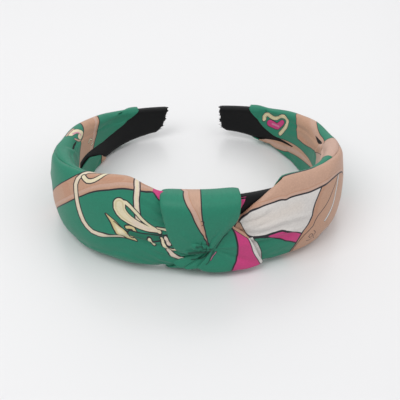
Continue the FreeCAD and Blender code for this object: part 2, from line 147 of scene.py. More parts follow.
# The strap's loop from the pinch up the front, over the top and back: left edge, right edge (station, n), d.
STRAP_STOPS = (
    ((-7.6, -7.4), (4.6, -6.4), 5.2),
    ((-8.7, -8.4), (5.2, -6.7), 6.7),
    ((-11.2, -6.0), (7.0, -2.4), 8.0),
    ((-13.1, -2.0), (9.2, 1.8), 8.5),
    ((-14.4, 2.4), (11.6, 4.6), 9.0),
    ((-15.6, 8.6), (15.4, 10.2), 9.4),
    ((-16.7, 14.4), (16.5, 15.4), 9.1),
    ((-17.8, 18.4), (17.2, 18.7), 7.4),
    ((-18.5, 20.3), (17.8, 20.4), 3.6),
    ((-18.7, 20.6), (18.2, 20.6), -0.4),
    ((-18.7, 19.4), (18.7, 19.4), -3.8),
    ((-18.7, 15.5), (18.7, 15.5), -4.5),
    ((-18.7, 0.0), (18.7, 0.0), -4.5),
    ((-18.7, -17.0), (18.7, -17.0), -4.4),
    ((-18.2, -20.3), (18.2, -20.3), -2.4),
    ((-17.0, -20.6), (17.0, -20.6), 1.6),
    ((-13.0, -18.6), (14.0, -18.6), 4.4),
    ((-7.0, -14.6), (9.0, -14.6), 4.8),
    ((-2.0, -10.0), (6.0, -10.0), 4.8),
)
STRAP_CREST_STOP = 9
# Level of the strap's crest on the cloth, and how far back over it the print is seen.
STRAP_CREST, STRAP_SEEN = 20.6, 62.0
# Ends of the strap, fanned from the pinch: outer points (station, n, d).
PINCH = (4.8, -6.6, 6.9)
LOBE_EDGE = (
    (-1.4, -15.6, 8.3),
    (2.5, -18.0, 8.8),
    (8.0, -18.6, 9.0),
    (14.5, -18.7, 8.9),
    (21.0, -18.8, 8.7),
    (26.9, -17.8, 8.3),
    (25.0, -11.6, 8.9),
    (22.2, -4.8, 8.6),
    (18.8, 0.4, 7.3),
    (12.4, 5.6, 6.2),
)
TUCK_EDGE = (
    (-7.8, -8.0, 5.6),
    (-11.6, -11.2, 6.0),
    (-13.2, -14.2, 6.2),
    (-12.2, -15.8, 6.6),
    (-8.4, -17.2, 7.4),
    (-4.6, -17.5, 7.9),
    (0.6, -16.4, 7.8),
)


def plan(station):
    """x, q and heading of the core's centre line at stations."""
    station = np.asarray(station, float)
    left = np.abs(station)
    x, q, heading = np.zeros_like(left), np.zeros_like(left), np.zeros_like(left)
    for index, (radius, turn) in enumerate(ARCS):
        step = left / radius
        if index < len(ARCS) - 1:
            step = np.minimum(step, math.radians(turn))
        x += radius * (np.sin(heading + step) - np.sin(heading))
        q += radius * (np.cos(heading) - np.cos(heading + step))
        heading += step
        left = left - radius * step
    side = np.where(station < 0, -1.0, 1.0)
    return side * x, q, side * heading


def core_half(station):
    """Half height of the core at stations: straight to the rear arc, then one curve to the tip."""
    q = plan(station)[1]
    q_rear, q_fair, q_tip = (float(plan(s)[1]) for s in (REAR_STATION, FAIR_STATION, TIP))
    straight = CROWN_HALF + (REAR_HALF - CROWN_HALF) * q / q_rear
    curved = (
        REAR_HALF * (q - q_fair) * (q - q_tip) / ((q_rear - q_fair) * (q_rear - q_tip))
        + FAIR_HALF * (q - q_rear) * (q - q_tip) / ((q_fair - q_rear) * (q_fair - q_tip))
        + TIP_HALF * (q - q_rear) * (q - q_fair) / ((q_tip - q_rear) * (q_tip - q_fair))
    )
    return np.where(q <= q_rear, straight, curved)


def in_hoop(station, d, n):
    """x, q, n of points in the hoop's own plane."""
    x, q, heading = plan(station)
    return np.stack(np.broadcast_arrays(x + np.sin(heading) * d, q - np.cos(heading) * d, n), -1)


def tilted(points, tilt):
    c, s = math.cos(tilt), math.sin(tilt)
    y = c * points[..., 1] + s * points[..., 2]
    z = -s * points[..., 1] + c * points[..., 2]
    return np.stack([points[..., 0], y, z], -1)


def find_crown():
    """Tilt of the hoop, and where the middle of its crown is, from the right hinge."""
    hinge = next(j for j in frame["joints"] if j["name"] == "right_flex")
    axis, pos = hinge["axis"], hinge["pos_m"]
    tilt = math.atan2(abs(axis[1]), abs(axis[2]))
    at_hinge = tilted(in_hoop(FLEX_STATION, FLEX_OUT, 0.0), tilt)
    return tilt, np.array(pos) / MM - at_hinge


TILT, CROWN = find_crown()


def place(station, d, n):
    """Points in the row frame, in metres."""
    return (tilted(in_hoop(station, d, n), TILT) + CROWN) * MM


def smooth_table(table, at):
    """Rows of a table at stations, on a smooth curve through them."""
    table = np.array(table, float)
    x = table[:, 0]
    at = np.clip(at, x[0], x[-1])
    i = np.clip(np.searchsorted(x, at, side="right") - 1, 0, len(x) - 2)
    before, after = np.maximum(i - 1, 0), np.minimum(i + 2, len(x) - 1)
    span = x[i + 1] - x[i]
    t = ((at - x[i]) / span)[:, None]
    start, end = table[i], table[i + 1]
    slope_start = (end - table[before]) / (x[i + 1] - x[before])[:, None] * span[:, None]
    slope_end = (table[after] - start) / (x[after] - x[i])[:, None] * span[:, None]
    return (
        (1 - t) ** 2 * (1 + 2 * t) * start
        + t**2 * (3 - 2 * t) * end
        + t * (1 - t) ** 2 * slope_start
        - t**2 * (1 - t) * slope_end
    )


def smooth_line(points, count):
    """Points evenly spaced along a smooth curve through the given ones."""
    points = np.array(points, float)
    rows = np.concatenate([np.arange(len(points))[:, None], points], 1)
    fine = smooth_table(rows, np.linspace(0, len(points) - 1, 40 * len(points)))[:, 1:]
    return resample(fine, count)


def resample(line, count):
    """The same line with evenly spaced points."""
    along = lengths(line)
    at = np.linspace(0, along[-1], count)
    return np.stack([np.interp(at, along, line[:, k]) for k in range(line.shape[1])], 1)


def lengths(line):
    """Distance along a line at each of its points."""
    return np.concatenate([[0], np.cumsum(np.linalg.norm(np.diff(line, axis=0), axis=1))])


def arch(t):
    return np.sin(np.pi * np.clip(t, 0, 1))


def ease(t):
    t = np.clip(t, 0, 1)
    return t * t * (3 - 2 * t)


# ---------------------------------------------------------------- meshes


def mesh_piece(name, verts, faces, uv=None):
    """New object from points in the row frame. uv has one cloth coordinate in metres for each point."""
    data = bpy.data.meshes.new(name)
    data.from_pydata([tuple(v) for v in verts], [], [tuple(f) for f in faces])
    if uv is not None:
        layer = data.uv_layers.new(name="cloth")
        corners = np.zeros(len(data.loops), np.int32)
        data.loops.foreach_get("vertex_index", corners)
        layer.data.foreach_set("uv", np.asarray(uv, np.float32)[corners].ravel())
    data.polygons.foreach_set("use_smooth", np.ones(len(data.polygons), bool))
    data.update()
    piece = bpy.data.objects.new(name, data)
    bpy.context.scene.collection.objects.link(piece)
    return piece


def grid_faces(rows, columns, start=0, flip=False):
    """Quads of a grid of points stored row by row."""
    faces = []
    for i in range(rows - 1):
        for j in range(columns - 1):
            a = start + i * columns + j
            quad = (a, a + 1, a + columns + 1, a + columns)
            faces.append(quad[::-1] if flip else quad)
    return faces


def ring_faces(rows, columns, start=0, flip=False):
    """Quads of a tube of rings."""
    faces = []
    for i in range(rows - 1):
        for j in range(columns):
            a, b = start + i * columns + j, start + i * columns + (j + 1) % columns
            quad = (a, b, b + columns, a + columns)
            faces.append(quad[::-1] if flip else quad)
    return faces


def modify(piece, kind, **settings):
    """Adds a modifier and applies it."""
    modifier = piece.modifiers.new(kind.lower(), kind)
    for key, value in settings.items():
        setattr(modifier, key, value)
    graph = bpy.context.evaluated_depsgraph_get()
    made = bpy.data.meshes.new_from_object(piece.evaluated_get(graph), depsgraph=graph)
    piece.modifiers.clear()
    old = piece.data
    piece.data = made
    bpy.data.meshes.remove(old)


def points_of(piece):
    co = np.zeros(len(piece.data.vertices) * 3, np.float32)
    piece.data.vertices.foreach_get("co", co)
    return co.reshape(-1, 3).astype(float)


def set_points(piece, points):
    piece.data.vertices.foreach_set("co", points.astype(np.float32).ravel())
    piece.data.update()


def normals_of(piece):
    out = np.zeros(len(piece.data.vertices) * 3, np.float32)
    piece.data.vertices.foreach_get("normal", out)
    return out.reshape(-1, 3).astype(float)


def cloth_coordinates(piece):
    """Each vertex's cloth coordinates in millimetres."""
    data = piece.data
    corners = np.zeros(len(data.loops), np.int32)
    data.loops.foreach_get("vertex_index", corners)
    uv = np.zeros(len(data.loops) * 2, np.float32)
    data.uv_layers["cloth"].data.foreach_get("uv", uv)
    out = np.zeros((len(data.vertices), 2))
    out[corners] = uv.reshape(-1, 2)
    return out / MM


def near_line(uv, line):
    """Distance of cloth points from a line on the cloth, on which side they are, and how far along."""
    line = np.array(line, float)
    best = np.full(len(uv), 1e9)
    side = np.zeros(len(uv))
    along = np.zeros(len(uv))
    total = lengths(line)
    for k, (a, b) in enumerate(zip(line, line[1:])):
        d = b - a
        t = np.clip(((uv - a) @ d) / (d @ d), 0, 1)
        off = uv - a - t[:, None] * d
        far = np.linalg.norm(off, axis=1)
        near = far < best
        best = np.where(near, far, best)
        side = np.where(near, np.sign(d[0] * off[:, 1] - d[1] * off[:, 0]), side)
        along = np.where(near, (total[k] + t * (total[k + 1] - total[k])) / total[-1], along)
    return best, side, along


def crease(piece, folds):
    """Presses folds into cloth. Each fold: line on the cloth, depth, width, and the lip beside it."""
    uv = cloth_coordinates(piece)
    push = np.zeros(len(uv))
    for line, depth, width, lip in folds:
        far, side, along = near_line(uv, line)
        fade = np.minimum(1.0, 5.0 * np.minimum(along, 1 - along) + 0.12)
        push -= depth * fade * np.exp(-((far / width) ** 2))
        push += lip * fade * side * np.exp(-((far / (2.4 * width) - 0.8) ** 2) * 2.5)
    set_points(piece, points_of(piece) + normals_of(piece) * (push * MM)[:, None])


def rumple(piece, neck):
    """Slow waves in the cloth, and fine gathers that fade away from the neck."""
    uv = cloth_coordinates(piece)
    u, v = uv[:, 0], uv[:, 1]
    slow = 0.22 * np.sin(u / 7.3 + 0.9 * np.sin(v / 6.1)) * np.sin(v / 8.3 + 1.3)
    slow = slow + 0.13 * np.sin(u / 3.9 - v / 5.2)
    fade = np.exp(-np.maximum(u - neck, 0) / 9.0)
    gathers = 0.30 * fade * np.sin(v * 1.35 + 0.05 * u)
    gathers = gathers + 0.18 * fade * np.sin(v * 2.9 + 1.0 + 0.1 * u)
    set_points(piece, points_of(piece) + normals_of(piece) * ((slow + gathers) * MM)[:, None])


def lay_on_floor(piece, height=0.0):
    """Flattens what would hang below the surface that the headband lies on."""
    points = points_of(piece)
    points[:, 2] = np.maximum(points[:, 2], height)
    set_points(piece, points)


SIM_SCALE = 10.0


def settle(piece, held, cap, frames=20, pressure=4.0, spare=0.04):
    """Cloth simulation: pressure from the wadding fills the cloth, which is held where held is 1."""
    scene = bpy.context.scene
    rest = points_of(piece)
    set_points(piece, rest * SIM_SCALE)
    group = piece.vertex_groups.new(name="held")
    for weight in np.unique(np.round(held, 2)):
        if weight > 0:
            group.add(np.where(np.round(held, 2) == weight)[0].tolist(), float(weight), "REPLACE")
    cloth = piece.modifiers.new("cloth", "CLOTH")
    settings = cloth.settings
    settings.quality = 5
    settings.mass = 0.3
    settings.tension_stiffness = 18
    settings.compression_stiffness = 8
    settings.shear_stiffness = 5
    settings.bending_stiffness = 0.15
    settings.use_pressure = True
    settings.uniform_pressure_force = pressure
    settings.shrink_min = -spare
    settings.effector_weights.gravity = 0.0
    settings.vertex_group_mass = group.name
    settings.pin_stiffness = 1.0
    cloth.collision_settings.use_collision = False
    cloth.point_cache.frame_start = 1
    cloth.point_cache.frame_end = frames
    for number in range(1, frames + 1):
        scene.frame_set(number)
    graph = bpy.context.evaluated_depsgraph_get()
    made = piece.evaluated_get(graph).to_mesh()
    moved = np.zeros(len(made.vertices) * 3, np.float32)
    made.vertices.foreach_get("co", moved)
    piece.evaluated_get(graph).to_mesh_clear()
    piece.modifiers.clear()
    scene.frame_set(1)
    step = moved.reshape(-1, 3).astype(float) / SIM_SCALE - rest
    far = np.linalg.norm(step, axis=1)
    limit = cap * MM
    step *= (limit * np.tanh(far / limit) / np.maximum(far, 1e-9))[:, None]
    set_points(piece, rest + step)
    piece.vertex_groups.clear()


# ---------------------------------------------------------------- hoop, cover and tip ribbons


def tip_ends(side):
    """How the end of the black ribbon is cut: level and station of its edge, from bottom to top."""
    if side < 0:
        return np.array([
            (-7.4, 176.4), (-5.6, 178.6), (-3.0, 180.6), (0.5, 181.8), (4.0, 182.8), (7.4, 183.9),
        ])
    return np.array([(-7.4, 179.4), (-6.2, 181.6), (-4.0, 183.0), (0.0, 183.5), (4.0, 183.8), (7.4, 184.0)])


def slab(name, side, face, grow, inset, corner, hollow=False):
    """Board, or the cloth over it, from the crown to the tip.

    face is half its thickness, grow what it adds to the board's half height, inset how far it stops
    short of the tip, and corner the radius of its edges. Cloth is hollow, and open at the crown.
    """
    rows = np.concatenate([np.arange(0.0, CUT_START, 2.0), np.linspace(CUT_START, TIP - inset, 16)])
    across, up = SLAB_COLUMNS
    half = core_half(rows) + grow
    u = np.linspace(-1, 1, across)
    v = np.linspace(-1, 1, up)
    ring = [(a, -1.0) for a in u[:-1]] + [(1.0, b) for b in v[:-1]]
    ring += [(-a, 1.0) for a in u[:-1]] + [(-1.0, -b) for b in v[:-1]]
    ring = np.array(ring)
    ends = tip_ends(side)
    verts = []
    uv = []
    girth = np.linspace(0, 1, len(ring), endpoint=False)
    for station, tall in zip(rows, half):
        d = ring[:, 0] * face
        n = ring[:, 1] * tall
        edge_d = np.maximum(np.abs(d) - (face - corner), 0)
        edge_n = np.maximum(np.abs(n) - (tall - corner), 0)
        both = np.hypot(edge_d, edge_n)
        pull = np.where(both > corner, corner / np.maximum(both, 1e-9), 1.0)
        d = np.sign(d) * (np.minimum(np.abs(d), face - corner) + edge_d * pull)
        n = np.sign(n) * (np.minimum(np.abs(n), tall - corner) + edge_n * pull)
        at = np.full_like(n, station)
        if station > CUT_START:
            stop = np.interp(n / tall * TIP_LEVEL, ends[:, 0], ends[:, 1]) - inset
            at = CUT_START + (stop - CUT_START) * (station - CUT_START) / (rows[-1] - CUT_START)
        verts.append(place(side * at, d, n))
        uv.append(np.stack([at, girth * 4 * tall], 1) * MM)
    k = len(ring)
    faces = ring_faces(len(rows), k, flip=side < 0)
    first, last = list(range(k)), list(range((len(rows) - 1) * k, len(rows) * k))
    faces.append(tuple(last if side > 0 else last[::-1]))
    if not hollow:
        faces.append(tuple(first[::-1] if side > 0 else first))
    piece = mesh_piece(name, np.concatenate(verts), faces, np.concatenate(uv))
    if hollow:
        modify(piece, "SOLIDIFY", thickness=COVER_THICK * MM, offset=-1.0)
    return piece


def tip_ribbon(name, side):
    """Short ribbon round the tip: overlapped on the inner face, cut ragged at the end."""
    face, grow = COVER_FACE + TIP_RIBBON_OUT, COVER_GROW + TIP_RIBBON_OUT
    start = TIP - TIP_RIBBON_LENGTH
    steps = np.concatenate([np.linspace(0, 0.82, 16), np.linspace(0.86, 1, 6)])
    n_cols = 84
    ends = tip_ends(side)
    verts, uv = [], []
    turn = np.linspace(0, 1, n_cols)
    for share in steps:
        station = start + share * (TIP + 1.0 - start)
        tall = float(core_half(min(station, TIP))) + grow
        girth = 2 * (2 * tall + 2 * face)
        run = (turn * (girth + 3.0) - 1.5) % girth
        d, n = round_the_band(run, face, tall)
        lap = np.clip((turn - 0.93) / 0.05, 0, 1)
        d = d - 0.35 * lap * (d < 0)
        stop = np.interp(n / tall * TIP_LEVEL, ends[:, 0], ends[:, 1]) + 0.5
        stop = stop + ragged(turn * girth, side)
        at = start + share * (stop - start)
        verts.append(place(side * at, d, n))
        uv.append(np.stack([at, turn * girth], 1) * MM)
    faces = grid_faces(len(steps), n_cols, flip=side > 0)
    verts, uv = np.concatenate(verts), np.concatenate(uv)
    piece = mesh_piece(name, verts, faces, uv)
    crease(piece, [([(TIP - 4.5, -2.0), (TIP - 3.6, 40.0)], 0.22, 0.7, 0.05)])
    modify(piece, "SOLIDIFY", thickness=0.4 * MM, offset=1.0)
    return piece


def round_the_band(run, face, tall):
    """Offset and level of points a distance round a band's section, from the middle of its inner face."""
    girth = 4 * tall + 4 * face
    run = run % girth
    stops = np.array([0, tall, tall + 2 * face, 3 * tall + 2 * face, 3 * tall + 4 * face, girth])
    d = np.interp(run, stops, [-face, -face, face, face, -face, -face])
    n = np.interp(run, stops, [0, tall, tall, -tall, -tall, 0])
    squash = 1 - 0.16 * np.clip(np.abs(d) / face + np.abs(n) / tall - 1.55, 0, 1)
    return d * squash, n * (1 - 0.4 * (1 - squash))


def ragged(run, side):
    """Depth of the torn edge at a distance round the ribbon."""
    teeth = 0.6 * np.sin(run * 1.3 + side) + 0.35 * np.sin(run * 3.1 + 2.0 * side) + 0.16 * np.sin(run * 7.7)
    return np.clip(teeth, -0.7, 0.9)


def fringe(name, side):
    """Loose threads at the torn end of the tip ribbon."""
    strands = 15
    verts, faces = [], []
    ends = tip_ends(side)
    for k in range(strands):
        level = -6.4 + 13.6 * ((k * 0.618) % 1.0)
        d = COVER_FACE * (-1 if k % 3 else 1) + 0.25 * math.sin(k)
        stop = float(np.interp(level, ends[:, 0], ends[:, 1])) + 0.3
        long = 0.9 + 1.3 * ((k * 0.377) % 1.0)
        lean = 0.7 * math.sin(2.1 * k)
        steps = 5
        for i in range(steps):
            t = i / (steps - 1)
            wide = 0.08 * (1 - 0.7 * t)
            at = stop + long * t
            middle_n = level + lean * t * t
            middle_d = d * (1 - 0.25 * t)
            for dd, dn in ((-wide, -wide), (wide, -wide), (wide, wide), (-wide, wide)):
                verts.append(place(side * at, middle_d + dd, middle_n + dn))
        base = k * steps * 4
        faces += ring_faces(steps, 4, start=base)
        faces.append(tuple(base + (steps - 1) * 4 + j for j in range(4)))
    return mesh_piece(name, np.array(verts).reshape(-1, 3), faces)


# ---------------------------------------------------------------- sleeves


def quarter(centre, size, first, last, power, count):
    """Quarter of a rounded oval between two angles."""
    angle = np.linspace(first, last, count)
    c, s = np.cos(angle), np.sin(angle)
    d = centre[0] + size[0] * np.sign(c) * np.abs(c) ** (2 / power)
    n = centre[1] + size[1] * np.sign(s) * np.abs(s) ** (2 / power)
    return np.stack([d, n], 1)


def sleeve_section(row):
    """Outline of a sleeve's section from the seam up over the crest and round, and the crest's index."""
    station, reach, rise, drop, crest, slope, sag = row
    half = float(core_half(station)) + COVER_GROW
    high, low, inner = half + rise, -half - drop, INNER_FACE
    crest = max(crest, inner + 1.2)
    belly = (high + low) / 2 - sag * (high - low)
    slope = min(slope, high - SEAM_LEVEL - 1.0)
    bottom = 1.2
    curl = 3.0
    up = [(inner, SEAM_LEVEL), (inner, high - slope)]
    top_in = quarter((crest, high - slope), (crest - inner, slope), math.pi, math.pi / 2, 2.0, 30)
    top_out = quarter((crest, belly), (reach - crest, high - belly), math.pi / 2, 0, 2.15, 50)
    low_out = quarter((bottom, belly), (reach - bottom, belly - low), 0, -math.pi / 2, 2.3, 50)
    low_in = quarter((bottom, low + curl), (bottom - inner, curl), -math.pi / 2, -math.pi, 2.0, 20)
    over_cover = half + 0.5 - 8.0 * np.clip(-1.9 - top_in[:, 0], 0, 1)
    gap = top_in[:, 1] - over_cover
    top_in[:, 1] = over_cover + 0.5 * (gap + np.sqrt(gap**2 + 0.4))
    top_in[:, 1] += high - top_in[-1, 1]
    rise_part = np.concatenate([up, top_in[1:]])
    fall_part = np.concatenate([top_out, low_out[1:], low_in[1:], [(inner, SEAM_LEVEL)]])
    return rise_part, fall_part


def cut_line(line, level, keep_after):
    """Trims a falling or rising line where it crosses a level."""
    n = line[:, 1]
    if keep_after:
        over = np.where(n > level)[0]
        if len(over) == 0 or over[0] == 0:
            return line
        i = over[0]
        t = (level - n[i - 1]) / (n[i] - n[i - 1])
        return np.concatenate([[line[i - 1] + t * (line[i] - line[i - 1])], line[i:]])
    bottom = int(np.argmin(n))
    over = np.where(n[bottom:] < level)[0]
    if len(over) == 0:
        return line[: bottom + 1]
    i = bottom + over[-1]
    if i == len(line) - 1:
        return line
    t = (level - n[i]) / (n[i + 1] - n[i])
    return np.concatenate([line[: i + 1], [line[i] + t * (line[i + 1] - line[i])]])


def sleeve_cloth(name, side, table, vee, neck):
    """One sleeve: cloth round the band, joined on the inner face and open towards the tip."""
    rows = np.linspace(table[0][0], table[-1][0], 104)
    shape = smooth_table(table, rows)
    vee, neck = np.array(vee), np.array(neck) if neck else None
    inner_cols, outer_cols = 24, 50
    inside, outside, uv_in, uv_out = [], [], [], []
    for row in shape:
        station = row[0]
        rising, falling = sleeve_section(row)
        rise_long = lengths(rising)[-1]
        v_in, v_out = None, 0.0
        if station > vee[0, 0]:
            high_edge = np.interp(station, vee[:, 0], vee[:, 1])
            low_edge = np.interp(station, vee[:, 0], vee[:, 2])
            rising = cut_line(rising, high_edge, True)
            falling = cut_line(falling, low_edge, False)
        if neck is not None and station < neck[-1, 0]:
            top = rising[:, 1].max() - 0.02
            level = min(np.interp(station, neck[:, 0], neck[:, 1]), top)
            inside_level = min(np.interp(station, neck[:, 0], neck[:, 2]), top)
            stop = max(np.argmax(rising[:, 1] > inside_level), 1)
            rise_share = (inside_level - rising[stop - 1, 1]) / (rising[stop, 1] - rising[stop - 1, 1])
            edge = rising[stop - 1] + max(rise_share, 0.1) * (rising[stop] - rising[stop - 1])
            rising = np.concatenate([rising[:stop], [edge]])
            v_in = -rise_long
            j = np.where(falling[:, 1] <= level)[0][0]
            v_out = lengths(falling)[j]
            tucked = falling[j] - [min(1.6, falling[j, 0] - COVER_FACE - 0.35), 0.0]
            falling = np.concatenate([[tucked], falling[j + 1 :]])
        rising, falling = resample(rising, inner_cols), resample(falling, outer_cols)
        inside.append(place(side * station, rising[:, 0], rising[:, 1]))
        outside.append(place(side * station, falling[:, 0], falling[:, 1]))
        run_in, run_out = lengths(rising), lengths(falling)
        if v_in is None:
            # Both sides of the crest have exactly the same cloth coordinates there.
            v_in = -run_in[-1]
        uv_in.append(np.stack([np.full(inner_cols, station), v_in + run_in], 1))
        uv_out.append(np.stack([np.full(outer_cols, station), v_out + run_out], 1))
    verts = np.concatenate(inside + outside)
    uv = np.concatenate(uv_in + uv_out) * MM
    count = len(rows)
    faces = grid_faces(count, inner_cols, flip=side > 0)
    faces += grid_faces(count, outer_cols, start=count * inner_cols, flip=side > 0)
    piece = mesh_piece(name, verts, faces, uv)
    modify(piece, "WELD", merge_threshold=0.02 * MM)
    return piece


def sleeve_hold(piece, table):
    """How firmly each point of a sleeve is held: on the inner face, at both ends and underneath."""
    uv = cloth_coordinates(piece)
    station = uv[:, 0]
    ends = np.maximum(1 - (station - table[0][0]) / 9.0, 1 - (table[-1][0] - station) / 9.0)
    inner = np.where(uv[:, 1] < -9.0, 1.0, 0.0)
    round_it = np.where(uv[:, 1] > 44.0, 1.0, 0.0)
    floor = 1 - (points_of(piece)[:, 2] / MM - 0.4) / 2.0
    return np.clip(np.maximum.reduce([ends, inner, round_it, floor]), 0, 1)


# Folds: line on the cloth, depth, width, and the height of the lip beside it.
SHOULDER_RIDGE = ([(58.0, -1.5), (72.0, -0.6), (86.0, 0.4), (95.0, 2.0)], -1.4, 1.7, 0.0)
LEFT_FOLDS = (
    ([(17.0, 24.5), (30.0, 27.5), (47.0, 33.0)], 1.4, 1.3, 0.45),
    ([(17.0, 12.0), (30.0, 14.0), (44.0, 12.0)], 0.35, 2.6, 0.1),
    SHOULDER_RIDGE,
    ([(101.0, -17.0), (96.0, -11.0), (92.0, -5.6), (84.0, -5.0), (74.0, -5.4)], 0.9, 1.8, 0.0),
    ([(84.0, 14.0), (100.0, 17.0), (116.0, 14.0)], 0.5, 2.6, 0.2),
    ([(118.0, -9.0), (132.0, -6.0), (148.0, -6.0)], 0.3, 1.6, 0.1),
)
RIGHT_FOLDS = (
    ([(16.0, 17.0), (28.0, 20.5), (40.0, 23.0), (52.0, 24.5)], 1.0, 1.3, 0.35),
    ([(18.0, 23.0), (30.0, 26.5), (46.0, 31.0)], 1.25, 1.2, 0.4),
    ([(16.0, 13.0), (24.0, 13.5), (32.0, 12.0)], 0.5, 1.1, 0.1),
    ([(17.0, 15.5), (23.0, 17.0), (29.0, 17.5)], 0.35, 0.8, 0.0),
    SHOULDER_RIDGE,
    ([(103.0, -19.0), (97.0, -12.0), (92.0, -6.0), (84.0, -5.0), (74.0, -5.4)], 0.9, 1.8, 0.0),
    ([(50.0, 18.0), (60.0, 12.0), (70.0, 3.0)], 0.4, 2.2, 0.15),
    ([(112.0, -17.0), (126.0, -14.0), (140.0, -14.0)], 0.4, 1.6, 0.2),
)


def make_sleeve(name, side, table, vee, neck, folds):
    piece = sleeve_cloth(name, side, table, vee, neck)
    settle(piece, sleeve_hold(piece, table), cap=0.9)
    modify(piece, "SUBSURF", levels=1)
    crease(piece, folds)
    rumple(piece, 16.0)
    modify(piece, "SOLIDIFY", thickness=SATIN_THICK * MM, offset=-1.0)
    lay_on_floor(piece)
    return piece


def wadding(name, side, table, start, end):
    """Soft strip between the cover and the sleeve."""
    rows = np.linspace(start, end, 60)
    shape = smooth_table(table, rows)
    verts = []
    columns = 40
    for row in shape:
        half = float(core_half(row[0])) - 1.8
        reach = row[1] - 1.7
        inner = COVER_FACE + 0.25
        outline = np.concatenate(
            [
                [(inner, -half + 0.8), (inner, half - 0.8)],
                quarter((inner + 0.8, 0.0), (reach - inner - 0.8, half), math.pi / 2, -math.pi / 2, 2.3, 40),
                [(inner, -half + 0.8)],
            ]
        )
        ring = resample(outline, columns + 1)[:-1]
        verts.append(place(side * row[0], ring[:, 0], ring[:, 1]))
    faces = ring_faces(len(rows), columns, flip=side < 0)
    first, last = tuple(range(columns)), tuple(range((len(rows) - 1) * columns, len(rows) * columns))
    faces += [first[::-1], last] if side > 0 else [first, last[::-1]]
    piece = mesh_piece(name, np.concatenate(verts), faces)
    lay_on_floor(piece, 0.9 * MM)
    return piece


# ---------------------------------------------------------------- knot


def strap_cloth(name):
    """The strap's loop: gathered at the pinch in front, wide over the top and inside."""
    stops = np.array([(*left, *right, d) for left, right, d in STRAP_STOPS])
    rows = 150
    fine = smooth_table(
        np.concatenate([np.arange(len(stops))[:, None], stops], 1), np.linspace(0, len(stops) - 1, 1200)
    )
    middle = np.stack([(fine[:, 1] + fine[:, 3]) / 2, (fine[:, 2] + fine[:, 4]) / 2, fine[:, 5]], 1)
    along = lengths(middle)
    at = np.linspace(0, along[-1], rows)
    fine = np.stack([np.interp(at, along, fine[:, k]) for k in range(6)], 1)
    crest = np.interp(STRAP_CREST_STOP, fine[:, 0], at)
    columns = 60
    s = np.linspace(0, 1, columns)
    verts, uv = [], []
    for (stop, left_a, left_n, right_a, right_n, d), run in zip(fine, at):
        front = ease((STRAP_CREST_STOP - stop) / 2.0)
        low = ease(1 - stop / 5.5)
        station = left_a + (right_a - left_a) * s
        n = left_n + (right_n - left_n) * s - 0.9 * low**2 * arch(s)
        edge = np.abs(2 * s - 1)
        depth = d - (0.3 + 1.0 * front * (1 - 0.85 * low)) * edge**3
        depth = depth - 0.25 * front * ease((edge - 0.93) / 0.07) + low * pleats(s)
        over = np.exp(-(((stop - STRAP_CREST_STOP) / 2.2) ** 2))
        n = n - over * (1.3 * edge**8)
        verts.append(place(station, depth, n))
        beyond = np.maximum(run - crest, 0)
        v = np.where(run > crest, STRAP_CREST + beyond, n)
        uv.append(np.stack([station, v], 1) * MM)
    faces = grid_faces(rows, columns, flip=True)
    return mesh_piece(name, np.concatenate(verts), faces, np.concatenate(uv))


def turned_in_edge(name):
    """Edge of the strap's lining that shows beside it on the bare cover."""
    rows, columns = 14, 12
    verts, uv = [], []
    for t in np.linspace(0, 1, rows):
        n = 9.8 + 7.9 * t
        edge = 17.4 + 3.9 * t
        station = np.linspace(13.5, edge, columns)
        d = np.full(columns, COVER_FACE + 0.75) - 0.9 * ease((n - 15.6) / 2.0)
        verts.append(place(station, d, n))
        uv.append(np.stack([station, np.full(columns, n)], 1) * MM)
    piece = mesh_piece(name, np.concatenate(verts), grid_faces(rows, columns), np.concatenate(uv))
    modify(piece, "SOLIDIFY", thickness=0.4 * MM, offset=0.0)
    return piece


def pleats(s):
    """Height of the gathers across the strap near the pinch."""
    toward = ease((s - 0.25) / 0.5)
    waves = toward * (0.40 * np.cos(2 * math.pi * 3.1 * s + 1.4) + 0.18 * np.cos(2 * math.pi * 6.5 * s))
    groove = -1.3 * np.exp(-(((s - 0.60) / 0.035) ** 2)) - 1.2 * np.exp(-(((s - 0.80) / 0.03) ** 2))
    return waves + groove - 0.7 * np.exp(-(((s - 0.93) / 0.03) ** 2))


STRAP_FOLDS = (
    ([(-4.4, -2.4), (-1.2, -3.8), (1.6, -4.6), (4.4, -5.4)], 1.7, 0.6, 0.45),
    ([(-7.6, -7.2), (-3.2, -6.8), (0.6, -6.2), (4.6, -6.0)], 1.2, 0.55, 0.3),
    ([(-9.5, 6.0), (-5.0, -1.0), (2.0, -6.6)], 0.3, 1.6, 0.1),
    ([(12.0, 14.0), (9.0, 5.0), (6.0, -3.0)], 0.3, 1.6, 0.1),
)


def make_strap():
    piece = strap_cloth("knot_strap_cloth")
    crease(piece, STRAP_FOLDS)
    modify(piece, "SOLIDIFY", thickness=1.0 * MM, offset=-1.0)
    lay_on_floor(piece)
    return piece


